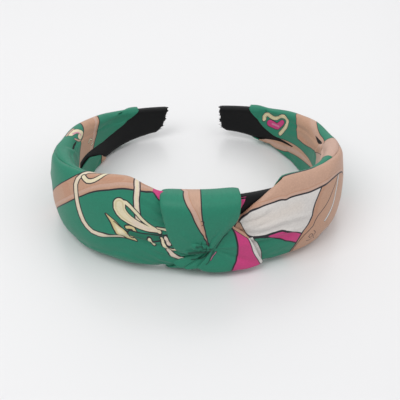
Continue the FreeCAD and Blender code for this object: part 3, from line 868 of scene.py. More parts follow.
def fan(name, edge, drop, puff, under, waves):
    """Cloth spread in a fan from the pinch, turned under where it meets the table."""
    rays, steps = 70, 46
    rim = smooth_line(edge, rays)
    pinch = np.array(PINCH) - [0.0, 0.0, drop]
    verts, uv = [], []
    share = np.linspace(0, 1, rays)
    for t in np.linspace(0, 1, steps):
        out = min(t / 0.86, 1.0)
        roll = max(t - 0.86, 0) / 0.14
        station = pinch[0] + (rim[:, 0] - pinch[0]) * out
        n = pinch[1] + (rim[:, 1] - pinch[1]) * out
        d = pinch[2] + (rim[:, 2] - pinch[2]) * ease(out * 0.9 + 0.1)
        d = d + puff * arch(out) + ease(out * 2.2) * (1 - 0.45 * out) * waves(share)
        fall = under(share)
        away = np.stack([rim[:, 0] - pinch[0], rim[:, 1] - pinch[1]], 1)
        away /= np.linalg.norm(away, axis=1)[:, None]
        angle = roll * math.pi / 2
        radius = fall
        station = station + away[:, 0] * radius * math.sin(angle)
        n = n + away[:, 1] * radius * math.sin(angle)
        d = d - radius * (1 - math.cos(angle)) * 1.1
        verts.append(place(station, d, n))
        uv.append(np.stack([station, n - radius * roll], 1) * MM)
    piece = mesh_piece(name, np.concatenate(verts), grid_faces(steps, rays, flip=True), np.concatenate(uv))
    modify(piece, "SOLIDIFY", thickness=0.7 * MM, offset=-1.0)
    lay_on_floor(piece)
    return piece


def lobe_waves(share):
    return 0.35 * np.cos(2 * math.pi * 2.3 * share + 1.0) + 0.18 * np.cos(2 * math.pi * 5.2 * share)


def lobe_under(share):
    """How far the lobe's rim turns under: most at the table, little beside the sleeve."""
    return 2.0 * ease((0.52 - share) / 0.1 + 0.5) + 0.55


def tuck_waves(share):
    deep = -1.9 * np.exp(-(((share - 0.34) / 0.035) ** 2)) - 1.4 * np.exp(-(((share - 0.66) / 0.04) ** 2))
    lips = 0.6 * np.exp(-(((share - 0.24) / 0.05) ** 2)) + 0.5 * np.exp(-(((share - 0.48) / 0.07) ** 2))
    return deep + lips + 0.15 * np.cos(2 * math.pi * 3.0 * share)


def tuck_under(share):
    return 0.5 + 1.6 * ease((share - 0.4) / 0.2)


def stitch_row(name):
    """Short stitches that close the strap's loop on the inside."""
    verts, faces = [], []
    sides, steps = 6, 9
    for k in range(5):
        level = (k - 2) * 5.0
        for i in range(steps):
            t = i / (steps - 1)
            station = -2.5 + 5.0 * t
            height = -5.05 - 0.18 * math.sin(math.pi * t)
            slant = 0.7 * (t - 0.5)
            for j in range(sides):
                angle = 2 * math.pi * j / sides
                out, up = 0.26 * math.cos(angle), 0.26 * math.sin(angle)
                verts.append(place(station, height + out, level + slant + up))
        base = k * sides * steps
        faces += ring_faces(steps, sides, start=base)
        faces.append(tuple(range(base + sides - 1, base - 1, -1)))
        faces.append(tuple(range(base + (steps - 1) * sides, base + steps * sides)))
    return mesh_piece(name, np.array(verts).reshape(-1, 3), faces)


# ---------------------------------------------------------------- shader arithmetic


class Field:
    """A number that varies over a surface. Arithmetic on it adds nodes."""

    def __init__(self, tree, socket):
        self.tree = tree
        self.socket = socket

    def node(self, operation, *values):
        made = self.tree.nodes.new("ShaderNodeMath")
        made.operation = operation
        for slot, value in zip(made.inputs, (self, *values)):
            link(self.tree, value, slot)
        return Field(self.tree, made.outputs[0])

    def __add__(self, other):
        return self.node("ADD", other)

    def __sub__(self, other):
        return self.node("SUBTRACT", other)

    def __mul__(self, other):
        return self.node("MULTIPLY", other)

    def least(self, other):
        return self.node("MINIMUM", other)

    def most(self, other):
        return self.node("MAXIMUM", other)

    def size(self):
        return self.node("ABSOLUTE")

    def below(self, edge, soft=0.12):
        """1 where the number is under the edge, 0 over it, with a soft step."""
        made = self.tree.nodes.new("ShaderNodeMapRange")
        made.interpolation_type = "SMOOTHSTEP"
        link(self.tree, self, made.inputs["Value"])
        made.inputs["From Min"].default_value = edge - soft
        made.inputs["From Max"].default_value = edge + soft
        made.inputs["To Min"].default_value = 1.0
        made.inputs["To Max"].default_value = 0.0
        return Field(self.tree, made.outputs["Result"])

    def above(self, edge, soft=0.12):
        return (self.below(edge, soft) * -1.0) + 1.0


def link(tree, value, socket):
    if isinstance(value, Field):
        tree.links.new(value.socket, socket)
    elif isinstance(value, bpy.types.NodeSocket):
        tree.links.new(value, socket)
    else:
        socket.default_value = value


def stroke_group():
    """Node group: the distance of a point from one straight stroke, or the best so far."""
    group = bpy.data.node_groups.get("near_stroke")
    if group is not None:
        return group
    group = bpy.data.node_groups.new("near_stroke", "ShaderNodeTree")
    for name in ("Point", "From", "Run", "Share"):
        group.interface.new_socket(name, in_out="INPUT", socket_type="NodeSocketVector")
    group.interface.new_socket("Best", in_out="INPUT", socket_type="NodeSocketFloat")
    group.interface.new_socket("Best", in_out="OUTPUT", socket_type="NodeSocketFloat")
    given, result = group.nodes.new("NodeGroupInput"), group.nodes.new("NodeGroupOutput")

    def step(kind, operation, *values):
        made = group.nodes.new(kind)
        made.operation = operation
        for slot, value in zip(made.inputs, values):
            link(group, value, slot)
        return made

    off = step("ShaderNodeVectorMath", "SUBTRACT", given.outputs["Point"], given.outputs["From"]).outputs[0]
    share = step("ShaderNodeVectorMath", "DOT_PRODUCT", off, given.outputs["Share"]).outputs["Value"]
    share = step("ShaderNodeMath", "MAXIMUM", share, 0.0).outputs[0]
    share = step("ShaderNodeMath", "MINIMUM", share, 1.0).outputs[0]
    foot = group.nodes.new("ShaderNodeVectorMath")
    foot.operation = "SCALE"
    group.links.new(given.outputs["Run"], foot.inputs[0])
    group.links.new(share, foot.inputs["Scale"])
    far = step("ShaderNodeVectorMath", "DISTANCE", off, foot.outputs[0]).outputs["Value"]
    best = step("ShaderNodeMath", "MINIMUM", given.outputs["Best"], far).outputs[0]
    group.links.new(best, result.inputs[0])
    return group


# Dividing the wave's scale by this sets its bands about two weaves apart: at a scale of 1 they
# repeat 20 / (2 pi), about 3.2, times in a unit of length.
WAVE_TURN = 6.3


class Cloth:
    """Builds a cloth material's colour from shapes drawn on the cloth, in millimetres."""

    def __init__(self, name):
        self.material = bpy.data.materials.new(name)
        self.material.use_nodes = True
        self.tree = self.material.node_tree
        self.shader = self.tree.nodes["Principled BSDF"]
        where = self.tree.nodes.new("ShaderNodeUVMap")
        where.uv_map = "cloth"
        scale = self.tree.nodes.new("ShaderNodeVectorMath")
        scale.operation = "SCALE"
        scale.inputs["Scale"].default_value = 1 / MM
        self.tree.links.new(where.outputs["UV"], scale.inputs[0])
        self.point = scale.outputs[0]
        split = self.tree.nodes.new("ShaderNodeSeparateXYZ")
        self.tree.links.new(self.point, split.inputs[0])
        self.u = Field(self.tree, split.outputs["X"])
        self.v = Field(self.tree, split.outputs["Y"])
        self.colour = None

    def paint(self, colour, mask=None):
        """Lays a colour over what is there, where the mask is 1."""
        if self.colour is None or mask is None:
            self.colour = colour
            return
        mix = self.tree.nodes.new("ShaderNodeMix")
        mix.data_type = "RGBA"
        link(self.tree, mask, mix.inputs["Factor"])
        self.put_colour(self.colour, mix.inputs[6])
        self.put_colour(colour, mix.inputs[7])
        self.colour = mix.outputs[2]

    def put_colour(self, colour, socket):
        if isinstance(colour, bpy.types.NodeSocket):
            self.tree.links.new(colour, socket)
        else:
            socket.default_value = (*colour, 1.0)

    def segment(self, a, b, best):
        """Distance from a straight stroke, or the best so far if that's less."""
        a, b = np.array(a, float), np.array(b, float)
        made = self.tree.nodes.new("ShaderNodeGroup")
        made.node_tree = stroke_group()
        self.tree.links.new(self.point, made.inputs["Point"])
        made.inputs["From"].default_value = (*a, 0.0)
        made.inputs["Run"].default_value = (*(b - a), 0.0)
        made.inputs["Share"].default_value = (*((b - a) / ((b - a) @ (b - a))), 0.0)
        made.inputs["Best"].default_value = 1000.0
        if best is not None:
            link(self.tree, best, made.inputs["Best"])
        return Field(self.tree, made.outputs["Best"])

    def path(self, points, smooth=2):
        """Distance from a smooth stroke through points."""
        count = max(2, smooth * (len(points) - 1) + 1) if smooth > 1 else len(points)
        line = smooth_line(points, count) if smooth > 1 else np.array(points, float)
        best = None
        for a, b in zip(line, line[1:]):
            best = self.segment(a, b, best)
        return best

    def along_u(self, points):
        """v as a smooth function of u, through points."""
        return self.curve(self.u, points)

    def along_v(self, points):
        """u as a smooth function of v, through points."""
        return self.curve(self.v, points)

    def curve(self, field, points):
        points = sorted(points)
        (low, high) = (points[0][0], points[-1][0])
        values = [p[1] for p in points]
        floor, top = min(values) - 1.0, max(values) + 1.0
        made = self.tree.nodes.new("ShaderNodeFloatCurve")
        line = made.mapping.curves[0]
        for k, (x, y) in enumerate(points):
            at = ((x - low) / (high - low), (y - floor) / (top - floor))
            if k < 2:
                line.points[k].location = at
            else:
                line.points.new(*at)
        made.mapping.update()
        scaled = (field - low) * (1 / (high - low))
        link(self.tree, scaled, made.inputs["Value"])
        return Field(self.tree, made.outputs[0]) * (top - floor) + floor

    def stroke(self, distance, width, fill, outline, rim=0.58):
        """A ribbon drawn along a stroke, with a dark outline."""
        self.paint(outline, distance.below(width / 2 + rim))
        self.paint(fill, distance.below(width / 2))

    def noise(self, scale, detail):
        """Noise over the cloth, with a scale in cycles for each millimetre."""
        made = self.tree.nodes.new("ShaderNodeTexNoise")
        made.inputs["Scale"].default_value = scale
        made.inputs["Detail"].default_value = detail
        self.tree.links.new(self.point, made.inputs["Vector"])
        return Field(self.tree, made.outputs["Fac"])

    def finish(self, rough=0.52, sheen=0.07, weave=0.32, bump=0.15, soft=0.06, shine=0.35):
        """Weave, sheen and a little unevenness over the drawn colour."""
        tree = self.tree
        uneven = self.noise(0.35, 4.0) * (2 * soft) + (1 - soft)
        grain = self.noise(3.5, 2.0) * 0.20 + self.noise(1.1, 1.0) * 0.22 + 0.79
        shade = tree.nodes.new("ShaderNodeMix")
        shade.data_type = "RGBA"
        shade.blend_type = "MULTIPLY"
        shade.inputs["Factor"].default_value = 1.0
        self.put_colour(self.colour, shade.inputs[6])
        grey = tree.nodes.new("ShaderNodeCombineColor")
        for k in range(3):
            link(tree, uneven * grain, grey.inputs[k])
        tree.links.new(grey.outputs[0], shade.inputs[7])
        tree.links.new(shade.outputs[2], self.shader.inputs["Base Color"])
        threads = []
        for direction in ("X", "Y"):
            wave = tree.nodes.new("ShaderNodeTexWave")
            wave.bands_direction = direction
            wave.inputs["Scale"].default_value = 1 / weave / WAVE_TURN
            wave.inputs["Distortion"].default_value = 0.6
            wave.inputs["Detail Scale"].default_value = 1.0
            tree.links.new(self.point, wave.inputs["Vector"])
            threads.append(Field(tree, wave.outputs["Fac"]))
        height = threads[0].most(threads[1]) + grain
        bumped = tree.nodes.new("ShaderNodeBump")
        bumped.inputs["Strength"].default_value = bump
        bumped.inputs["Distance"].default_value = 0.00012
        link(tree, height, bumped.inputs["Height"])
        tree.links.new(bumped.outputs[0], self.shader.inputs["Normal"])
        self.shader.inputs["Roughness"].default_value = rough
        self.shader.inputs["Sheen Weight"].default_value = sheen
        self.shader.inputs["Sheen Roughness"].default_value = 0.45
        self.shader.inputs["Specular IOR Level"].default_value = shine
        return self.material


# ---------------------------------------------------------------- prints

GREEN = (0.016, 0.205, 0.125)
DEEP_GREEN = (0.011, 0.145, 0.085)
TAN = (0.505, 0.295, 0.20)
WEDGE_TAN = (0.52, 0.325, 0.235)
ROSE_TAN = (0.55, 0.36, 0.285)
DARK_TAN = (0.48, 0.24, 0.15)
CREAM = (0.74, 0.66, 0.46)
PALE = (0.72, 0.60, 0.50)
WHITE = (0.68, 0.65, 0.625)
MAGENTA = (0.56, 0.046, 0.195)
PINK = (0.62, 0.22, 0.36)
GOLD = (0.60, 0.50, 0.26)
LINE = (0.018, 0.016, 0.022)
BLACK = (0.005, 0.005, 0.0058)
TIP_BLACK = (0.0055, 0.0055, 0.0062)
# Grey painted highlight along the start edge of the left tip ribbon, where it catches light.
PAINTED_EDGE_HIGHLIGHT = (0.085, 0.085, 0.09)
# Dark green painted shade, laid in folds and under the strap's edge where shadow falls.
PAINTED_FOLD_SHADE = (0.004, 0.045, 0.028)
LINE_WIDE = 0.42


def ruled(cloth, offset, inside=None, wide=LINE_WIDE):
    """Dark drawn line where the offset is nought."""
    mask = offset.size().below(wide)
    cloth.paint(LINE, mask if inside is None else mask * inside)


def left_print():
    """Green ground, a tan band with fine lines, looped cream straps and small scrolls."""
    cloth = Cloth("satin_left")
    u, v = cloth.u, cloth.v
    cloth.paint(GREEN)
    front = u.below(96.0)
    low = v - cloth.along_u(
        [
            (8, -6), (22.8, 1.9), (31.3, 5.5), (41.9, 7.9), (49.4, 10.0), (56.8, 14.4), (65.3, 20.7),
            (78, 30), (96, 46),
        ]
    )
    far = u - cloth.along_v([
        (-14, 58.0), (1.1, 59.4), (4.5, 62.3), (9.9, 68.4), (17.9, 78.2), (30, 92), (46, 108),
    ])
    near_top = v.above(-13.0) * front
    band = low.below(0.0) * far.below(0.0) * near_top
    cloth.paint(TAN, band)
    facet = cloth.path([(66.5, 11.0), (63.5, 16.5)]).below(2.6, 0.3)
    cloth.paint(DARK_TAN, facet * band * 0.45)
    cloth.paint(DARK_TAN, cloth.path([(53.0, 3.4), (46.0, 3.2), (37.0, 2.0)]).below(1.1, 0.4) * band * 0.5)
    cloth.paint(ROSE_TAN, (low + 2.4).size().below(0.9, 0.6) * band * 0.7)
    cloth.paint(DARK_TAN, (low + 3.6).size().below(0.12) * band)
    ruled(cloth, low, far.below(0.0) * near_top)
    ruled(cloth, far, low.below(0.0) * near_top)
    magenta = (v + u * 0.75).below(18.6) * u.below(22.6) * v.above(-3.0)
    cloth.paint(MAGENTA, magenta)
    ruled(cloth, v + u * 0.75 - 18.6, u.below(22.6))
    tall = cloth.path([(31.4, -7.0), (30.6, -0.5), (29.3, 3.7), (29.1, 9.9), (28.3, 15.8), (28.2, 20.0)])
    cloth.stroke(tall, 2.1, PALE, LINE)
    cloth.paint(CREAM, tall.below(0.4, 0.3))
    loop = cloth.path(
        [
            (50.5, -1.4),
            (55.6, -0.6),
            (58.6, 2.6),
            (60.2, 7.3),
            (58.4, 13.7),
            (56.0, 21.1),
            (53.5, 27.9),
            (49.1, 32.0),
            (42.0, 32.2),
            (34.0, 31.2),
        ]
    )
    cloth.stroke(loop, 1.9, CREAM, LINE)
    cloth.paint(PALE, (loop - 0.5).size().below(0.25, 0.2))
    curl = cloth.path([(45.8, -1.0), (48.6, 2.6), (51.4, 4.8), (54.4, 5.2), (57.3, 3.8)])
    cloth.stroke(curl, 1.9, CREAM, LINE)
    leaf_wide = ((v - 20.2).least(8.0) * 0.25).least((u - 28.4) * 0.42)
    leaf = cloth.path([(42.9, 20.3), (39.6, 23.8), (36.8, 27.3), (33.8, 29.7), (29.0, 31.0)]) - leaf_wide
    cloth.stroke(leaf, 0.0, GOLD, LINE)
    cloth.paint(CREAM, (leaf + 0.9).below(0.0, 0.4) * v.above(26.0, 2.0))
    cloth.paint(LINE, cloth.path([(39.0, 24.0), (35.4, 26.4), (32.6, 27.3)]).below(0.2))
    hook = cloth.path([(33.0, 25.4), (30.6, 24.4), (29.5, 25.8), (31.2, 29.6)])
    cloth.stroke(hook, 1.3, GOLD, LINE)
    tendril = cloth.path([(31.0, 27.6), (28.6, 27.0), (24.7, 25.8), (20.6, 23.9), (14.0, 21.4)])
    cloth.stroke(tendril, 2.3, DEEP_GREEN, LINE)
    tail = (u - 18.2).least(17.0).most(0.0)
    body = cloth.path([(36.4, 14.2), (36.0, 17.4), (32.6, 20.6), (28.2, 21.4), (23.6, 21.0), (19.0, 20.0)])
    body = body - tail * 0.135 - 0.45
    arm = cloth.path([
        (36.8, 14.4), (34.6, 12.6), (31.6, 13.7), (28.4, 15.8), (25.2, 18.3), (19.0, 20.2),
    ]) - 0.85
    tear = body.least(arm)
    cloth.stroke(tear, 0.0, CREAM, LINE)
    cloth.paint(PALE, (body + 0.6).below(0.0, 0.6) * u.below(31.0, 3.0))
    cloth.paint(GOLD, (body + 1.0).size().below(0.35, 0.3) * u.above(31.0, 2.0) * 0.7)
    for points, wide, fill in (
        ([(23.0, 26.0), (21.4, 28.4)], 1.5, CREAM),
        ([(17.9, 23.0), (17.2, 25.6), (15.2, 27.3), (12.6, 27.6), (10.8, 26.6)], 1.3, CREAM),
        ([(15.6, 22.0), (14.7, 24.6)], 1.9, PALE),
        ([(14.6, 28.6), (13.0, 30.6), (10.6, 32.0), (8.6, 32.2)], 1.9, PALE),
        ([(19.6, 18.4), (15.6, 17.6)], 1.0, CREAM),
    ):
        cloth.stroke(cloth.path(points), wide, fill, LINE)
    arm_band(cloth)
    outer_scrolls(cloth)
    return cloth.finish()


def arm_band(cloth):
    """Tan band across the left arm, with a small pale flourish beside it."""
    u, v = cloth.u, cloth.v
    right = u - cloth.along_v(
        [
            (-26, 122), (-14.8, 127.8), (-10.3, 130.6), (-5.6, 132.8), (-2.7, 135.6), (5, 140), (45, 151),
            (60, 153),
        ]
    )
    left = u - cloth.along_v(
        [
            (-26, 95), (-15.5, 103.9), (-9.9, 109.2), (-6.1, 115.6), (-2.3, 120.0), (5, 125), (45, 134.5),
            (60, 137),
        ]
    )
    arm = u.above(98.0)
    inside = right.below(0.0) * left.above(0.0) * arm
    cloth.paint(TAN, inside)
    cloth.paint(ROSE_TAN, (right + 3.0).size().below(1.1, 0.7) * inside)
    cloth.paint(DARK_TAN, (right + 4.4).size().below(0.12) * inside)
    ruled(cloth, right, arm)
    ruled(cloth, left, arm)
    patch = cloth.path([(108.2, -0.6), (112.4, -1.4), (115.4, -4.0), (111.6, -5.6)])
    cloth.stroke(patch, 3.0, CREAM, LINE, rim=0.3)
    cloth.paint(PINK, cloth.path([(109.5, -1.6), (113.0, -2.8), (113.4, -4.8)]).below(0.4, 0.3))
    for points in ([(107.0, -4.6), (109.0, -6.6), (111.0, -7.4)], [(106.4, 0.6), (110.0, 0.8), (114.4, 0.4)]):
        cloth.stroke(cloth.path(points), 1.1, ROSE_TAN, LINE, rim=0.25)
    for points in ([(121.0, -13.0), (123.0, -11.4), (125.2, -12.6)], [(124.0, -15.4), (126.0, -14.6)]):
        cloth.stroke(cloth.path(points), 0.7, CREAM, LINE, rim=0.25)


def outer_scrolls(cloth):
    """Straps and scrolls over the outside of an arm."""
    for points, wide, fill in (
        ([
            (92.0, 4.0), (97.0, 14.0), (106.0, 21.0), (117.0, 22.0), (123.0, 15.0), (118.0, 9.0),
            (111.0, 12.0),
        ], 2.0, CREAM),
        ([(104.0, 34.0), (114.0, 29.0), (126.0, 30.0), (133.0, 25.0)], 1.8, PALE),
        ([(141.0, 20.0), (147.0, 14.0), (154.0, 15.0), (156.0, 20.0)], 1.5, CREAM),
        ([(146.0, 8.0), (152.0, 7.0), (158.0, 9.0)], 1.3, MAGENTA),
    ):
        cloth.stroke(cloth.path(points), wide, fill, LINE)


def right_print():
    """Tan bands round a white ground, slivers of magenta, and a small horseshoe on the arm."""
    cloth = Cloth("satin_right")
    u, v = cloth.u, cloth.v
    cloth.paint(GREEN)
    band_low = v - cloth.along_u(
        [
            (8, 24), (17.3, 13.8), (20.8, 11.0), (25.9, 9.0), (33.5, 10.2), (41.1, 11.7), (57.6, 11.4),
            (72.3, 9.8), (82, 15), (98, 26),
        ]
    )
    white_right = u - cloth.along_v(
        [
            (8, 61), (11.8, 57.8), (16.1, 54.3), (21.1, 52.4), (26.8, 51.2), (33.6, 47.0), (38.6, 44.8),
            (42.6, 43.7), (56, 40),
        ]
    )
    white_low = v - cloth.along_u(
        [
            (8, 2), (17.3, 13.6), (19.8, 18.5), (21.9, 22.6), (28.6, 25.3), (33.0, 26.2), (36.7, 27.4),
            (43.9, 32.0), (52, 37),
        ]
    )
    below_band = band_low.above(0.0)
    front_edge = u - cloth.along_v([
        (-30, 97), (-2, 97), (5, 96), (14, 90), (26, 99), (36, 104), (48, 96), (58, 94),
    ])
    front = front_edge.below(0.0)
    cloth.paint(WHITE, below_band * white_low.below(0.0) * white_right.below(0.0))
    cloth.paint(PALE, cloth.path([
        (24.0, 15.0), (33.0, 17.5), (44.0, 18.0),
    ]).below(3.0, 3.0) * below_band * 0.25)
    cuff = u.below(22.2) * white_low.above(0.0) * v.below(23.6)
    cloth.paint(DARK_TAN, cuff)
    cloth.paint(TAN, cuff * u.below(20.0, 0.8))
    magenta_low = v - cloth.along_u(
        [
            (8, 23.8), (22.8, 23.9), (25.7, 24.5), (30.0, 26.3), (33.2, 29.6), (37.2, 33.2), (41.5, 36.8),
            (46, 40), (52, 44),
        ]
    )
    magenta = white_low.above(0.0) * magenta_low.below(0.0) * u.above(21.8)
    cloth.paint(MAGENTA, magenta * white_right.below(0.0))
    column = white_right.above(0.0) * below_band * front
    cloth.paint(TAN, column)
    cloth.paint(DARK_TAN, (white_right - 1.8).size().below(1.0, 0.8) * column * 0.6)
    pale_edge = cloth.path([(72.6, 9.6), (71.2, 13.8), (69.8, 17.2), (66.4, 23.2), (60.0, 31.0)])
    cloth.stroke(pale_edge, 1.0, WHITE, LINE, rim=0.18)
    side_line = cloth.path(
        [
            (72.4, 9.8), (68.6, 14.0), (62.1, 20.2), (56.4, 24.9), (54.1, 27.9), (52.5, 31.7),
            (47.3, 36.4), (45.0, 41.0), (43.9, 46.0),
        ]
    )
    cloth.paint(LINE, side_line.below(0.22))
    for points in (
        [(50.8, 37.4), (52.2, 36.0), (53.4, 37.2), (52.0, 38.6), (51.4, 37.8)],
        [(53.6, 34.6), (54.8, 36.0), (53.8, 38.6), (55.0, 40.0)],
        [(50.2, 39.8), (52.0, 40.4), (53.4, 39.6)],
    ):
        cloth.paint(LINE, cloth.path(points).below(0.18))
    ruled(cloth, white_right, below_band * v.below(48.0))
    ruled(cloth, white_low, white_right.below(0.0))
    ruled(cloth, magenta_low, white_right.below(0.0) * u.above(17.0))
    top = band_low.below(0.0) * v.above(0.0) * front
    inner_top = u.above(76.5) * v.above(-30.0) * v.below(0.5) * front
    cloth.paint(ROSE_TAN, top.most(inner_top))
    cloth.paint(TAN, (band_low + 1.3).below(0.0, 1.2) * top * 0.6)
    cloth.paint(DARK_TAN, (band_low + 1.4).size().below(1.0, 0.7) * u.below(27.0, 2.0) * top * 0.8)
    cloth.paint(DARK_TAN, (band_low + 2.0).size().below(0.12) * top)
    ruled(cloth, band_low, front)
    ruled(cloth, v - 0.2, u.above(37.0) * u.below(83.0), wide=0.4)
    edge_white = u - cloth.along_v([(22, 22.6), (24.7, 24.2), (30.8, 26.8), (36.5, 28.2), (44, 28.4)])
    beside_lobe = v.above(23.8)
    cloth.paint(WHITE, edge_white.below(0.0) * beside_lobe)
    ruled(cloth, edge_white, beside_lobe, wide=0.18)
    ruled(cloth, front_edge, v.above(4.0), wide=0.3)
    right_arm(cloth)
    outer_scrolls(cloth)
    return cloth.finish()


def right_arm(cloth):
    """Tan and green fields over the right arm's inner face, with the horseshoe between them."""
    u, v = cloth.u, cloth.v
    arm = u.above(84.0)
    field_low = v - cloth.along_u([
        (84, -10), (96, -13.1), (107.7, -14.3), (116.6, -15.7), (123, -15.0), (140, -10),
    ])
    field_right = u - cloth.along_v([
        (-16, 122), (-13.2, 126.4), (-8.9, 128.2), (-4.3, 129.4), (-0.5, 133), (6, 137), (45, 150),
    ])
    crest_green = v - cloth.along_u(
        [
            (84, -14), (90, -9.4), (93.4, -7.6), (97.2, -4.8), (105.6, -3.2), (112, -1.2), (118.9, 2.2),
            (126, 8), (144, 24),
        ]
    )
    field = field_low.above(0.0) * field_right.below(0.0) * crest_green.below(0.0) * arm
    cloth.paint(TAN, field)
    cloth.paint(ROSE_TAN, (crest_green + 2.2).size().below(1.6, 1.2) * field * 0.7)
    cloth.paint(DARK_TAN, (field_low - 1.4).size().below(1.2, 1.0) * field * 0.55)
    green_side = crest_green.above(0.0) * u.above(97.0)
    cloth.paint(GREEN, green_side)
    shoulder = v.above(-12.0) * u.below(97.0) * u.above(76.5) * v.below(0.3)
    cloth.paint(ROSE_TAN, shoulder * crest_green.above(0.0))
    ruled(cloth, crest_green, field_right.below(0.0) * u.above(89.0), wide=0.18)
    ruled(cloth, field_right, field_low.above(0.0) * arm, wide=0.22)
    ruled(cloth, field_low, field_right.below(0.0) * arm, wide=0.2)
    ruled(cloth, u - 97.0, v.above(-4.8) * v.below(6.0), wide=0.18)
    flap_top = v - cloth.along_u([
        (95, -25), (107.3, -22.7), (116.2, -21.4), (124.4, -19.9), (136.2, -19), (150, -19),
    ])
    flap_low = v - cloth.along_u(
        [(96, 60), (113.3, 55.2), (121.9, 51.8), (130.9, 46.3), (141.7, 36.7), (150, 31), (166, 26)]
    )
    flap = flap_top.below(0.0).most(flap_low.above(0.0)) * u.above(103.0)
    cloth.paint(TAN, flap)
    cloth.paint(ROSE_TAN, (flap_low - 2.4).size().below(1.2, 0.9) * flap)
    ruled(cloth, flap_top, u.above(103.0), wide=0.18)
    ruled(cloth, flap_low, u.above(103.0), wide=0.18)
    shoe = cloth.path(
        [
            (155.4, -8.4),
            (155.6, -6.0),
            (153.4, -5.0),
            (150.4, -6.6),
            (147.0, -6.8),
            (143.5, -4.4),
            (140.2, -3.9),
            (137.2, -6.0),
            (137.4, -9.6),
            (140.0, -13.2),
            (142.4, -15.8),
        ]
    )
    cloth.stroke(shoe, 2.3, CREAM, LINE, rim=0.42)
    cloth.paint(GOLD, (shoe - 0.6).size().below(0.25, 0.15))
    gem = (cloth.path([(151.0, -10.4), (146.4, -11.6)], smooth=1) - 1.9).least(
        cloth.path([(141.6, -8.6), (145.0, -11.8)], smooth=1) - 1.7
    )
    cloth.stroke(gem, 0.0, MAGENTA, LINE, rim=0.42)
    cloth.paint(PINK, cloth.path([(149.0, -10.6), (144.0, -11.4)], smooth=1).below(0.5, 0.4))


def strap_print():
    """Green with one tan wedge that narrows into the pinch, and painted shade along its folds and right edge.
    """
    cloth = Cloth("satin_strap")
    u, v = cloth.u, cloth.v
    cloth.paint(GREEN)
    left = u - cloth.along_v(
        [
            (-8, 3.6), (-4.1, 2.7), (1.1, 1.4), (6.3, -0.8), (11, -2.7), (15.9, -4.5), (18.8, -6.6),
            (20.4, -8.0), (23, -9.8), (40, -12),
        ]
    )
    right = u - cloth.along_v([
        (-8, 3.8), (-4.5, 3.3), (-0.2, 2.5), (4.7, 1.7), (9.9, 0.8), (15.1, 0.1), (20.4, -0.1), (40, 0.5),
    ])
    seen = v.below(STRAP_SEEN)
    inside = left.above(0.0) * right.below(0.0) * seen
    cloth.paint(WEDGE_TAN, inside)
    cloth.paint(ROSE_TAN, (left - 1.4).size().below(0.8, 0.6) * inside)
    cloth.paint(DARK_TAN, (left - 2.6).size().below(0.14) * inside)
    cloth.paint(DARK_TAN, (right + 0.7).size().below(0.5, 0.5) * inside * v.below(12.0, 2.0) * 0.7)
    # Painted shade: dark strokes in the folds at the pinch, and a thin one along the strap's right edge where
    # it lies over the lobe.
    cloth.paint(PAINTED_FOLD_SHADE, cloth.path([(-5.5, -7.0), (-1.5, -6.5), (4.0, -5.5)]).below(0.28, 0.4) * seen)
    cloth.paint(PAINTED_FOLD_SHADE, cloth.path([(-2.5, -3.0), (-1.0, -3.5), (2.5, -5.0)]).below(0.14, 0.35) * seen)
    cloth.paint(PAINTED_FOLD_SHADE, cloth.path([
        (6.0, -4.5), (7.5, -1.0), (9.5, 2.5), (12.0, 6.0),
    ]).below(0.14, 0.25) * seen)
    ruled(cloth, left, seen, wide=0.3)
    ruled(cloth, right, seen, wide=0.28)
    cloth.paint(LINE, cloth.path([
        (-0.3, 11.6), (0.5, 12.0), (1.0, 11.2), (0.6, 10.0), (0.0, 9.4),
    ]).below(0.16, 0.12))
    return cloth.finish()


def lobe_print():
    """Green, a magenta stripe and a white edge, with painted shade beside the strap's edge and the pink line.
    """
    cloth = Cloth("satin_lobe")
    u, v = cloth.u, cloth.v
    cloth.paint(GREEN)
    left = u - cloth.along_v([
        (-21, 13.2), (-16.6, 14.2), (-11.6, 15.8), (-5.8, 15.9), (-1.8, 15.5), (2, 14.6), (6, 12.0),
    ])
    right = u - cloth.along_v([
        (-21, 27.6), (-17.5, 26.4), (-10.4, 23.2), (-5.6, 21.9), (-2.3, 20.7), (-0.3, 18.6), (2.1, 15.9),
        (6, 11.4),
    ])
    cloth.paint(MAGENTA, left.above(0.0) * right.below(0.0))
    cloth.paint(WHITE, right.above(0.0))
    cloth.paint(TAN, right.above(0.0) * v.above(-2.3))
    ruled(cloth, left)
    ruled(cloth, right, wide=0.2)
    # Painted shade: a dark line where the strap's edge lies over the lobe, and a soft dark stroke beside the
    # pink line.
    cloth.paint(PAINTED_FOLD_SHADE, cloth.path([(6.5, -6.5), (7.5, -4.5), (9.5, -0.5), (11.5, 1.5)]).below(0.2, 0.35))
    cloth.paint(PAINTED_FOLD_SHADE, cloth.path([(5.5, -8.0), (4.0, -11.0), (3.0, -13.5), (2.0, -14.5)]).below(0.25, 0.45))
    cloth.stroke(cloth.path([(6.5, -8.5), (5.0, -10.5), (4.0, -12.5)]), 0.26, PINK, LINE, rim=0.26)
    return cloth.finish()


def tuck_print():
    """Green, with painted shade along a fold."""
    cloth = Cloth("satin_tuck")
    cloth.paint(GREEN)
    # Painted shade along the tuck's deepest fold.
    cloth.paint(PAINTED_FOLD_SHADE, cloth.path([(-4.5, -12.5), (-0.5, -12.0), (3.0, -9.5)]).below(0.3, 0.45))
    return cloth.finish()


def ribbon_black():
    """Black ribbon with fine ribs."""
    cloth = Cloth("black_ribbon")
    cloth.paint(BLACK)
    return cloth.finish(rough=0.55, sheen=0.02, weave=0.45, bump=0.35, soft=0.15, shine=0.2)


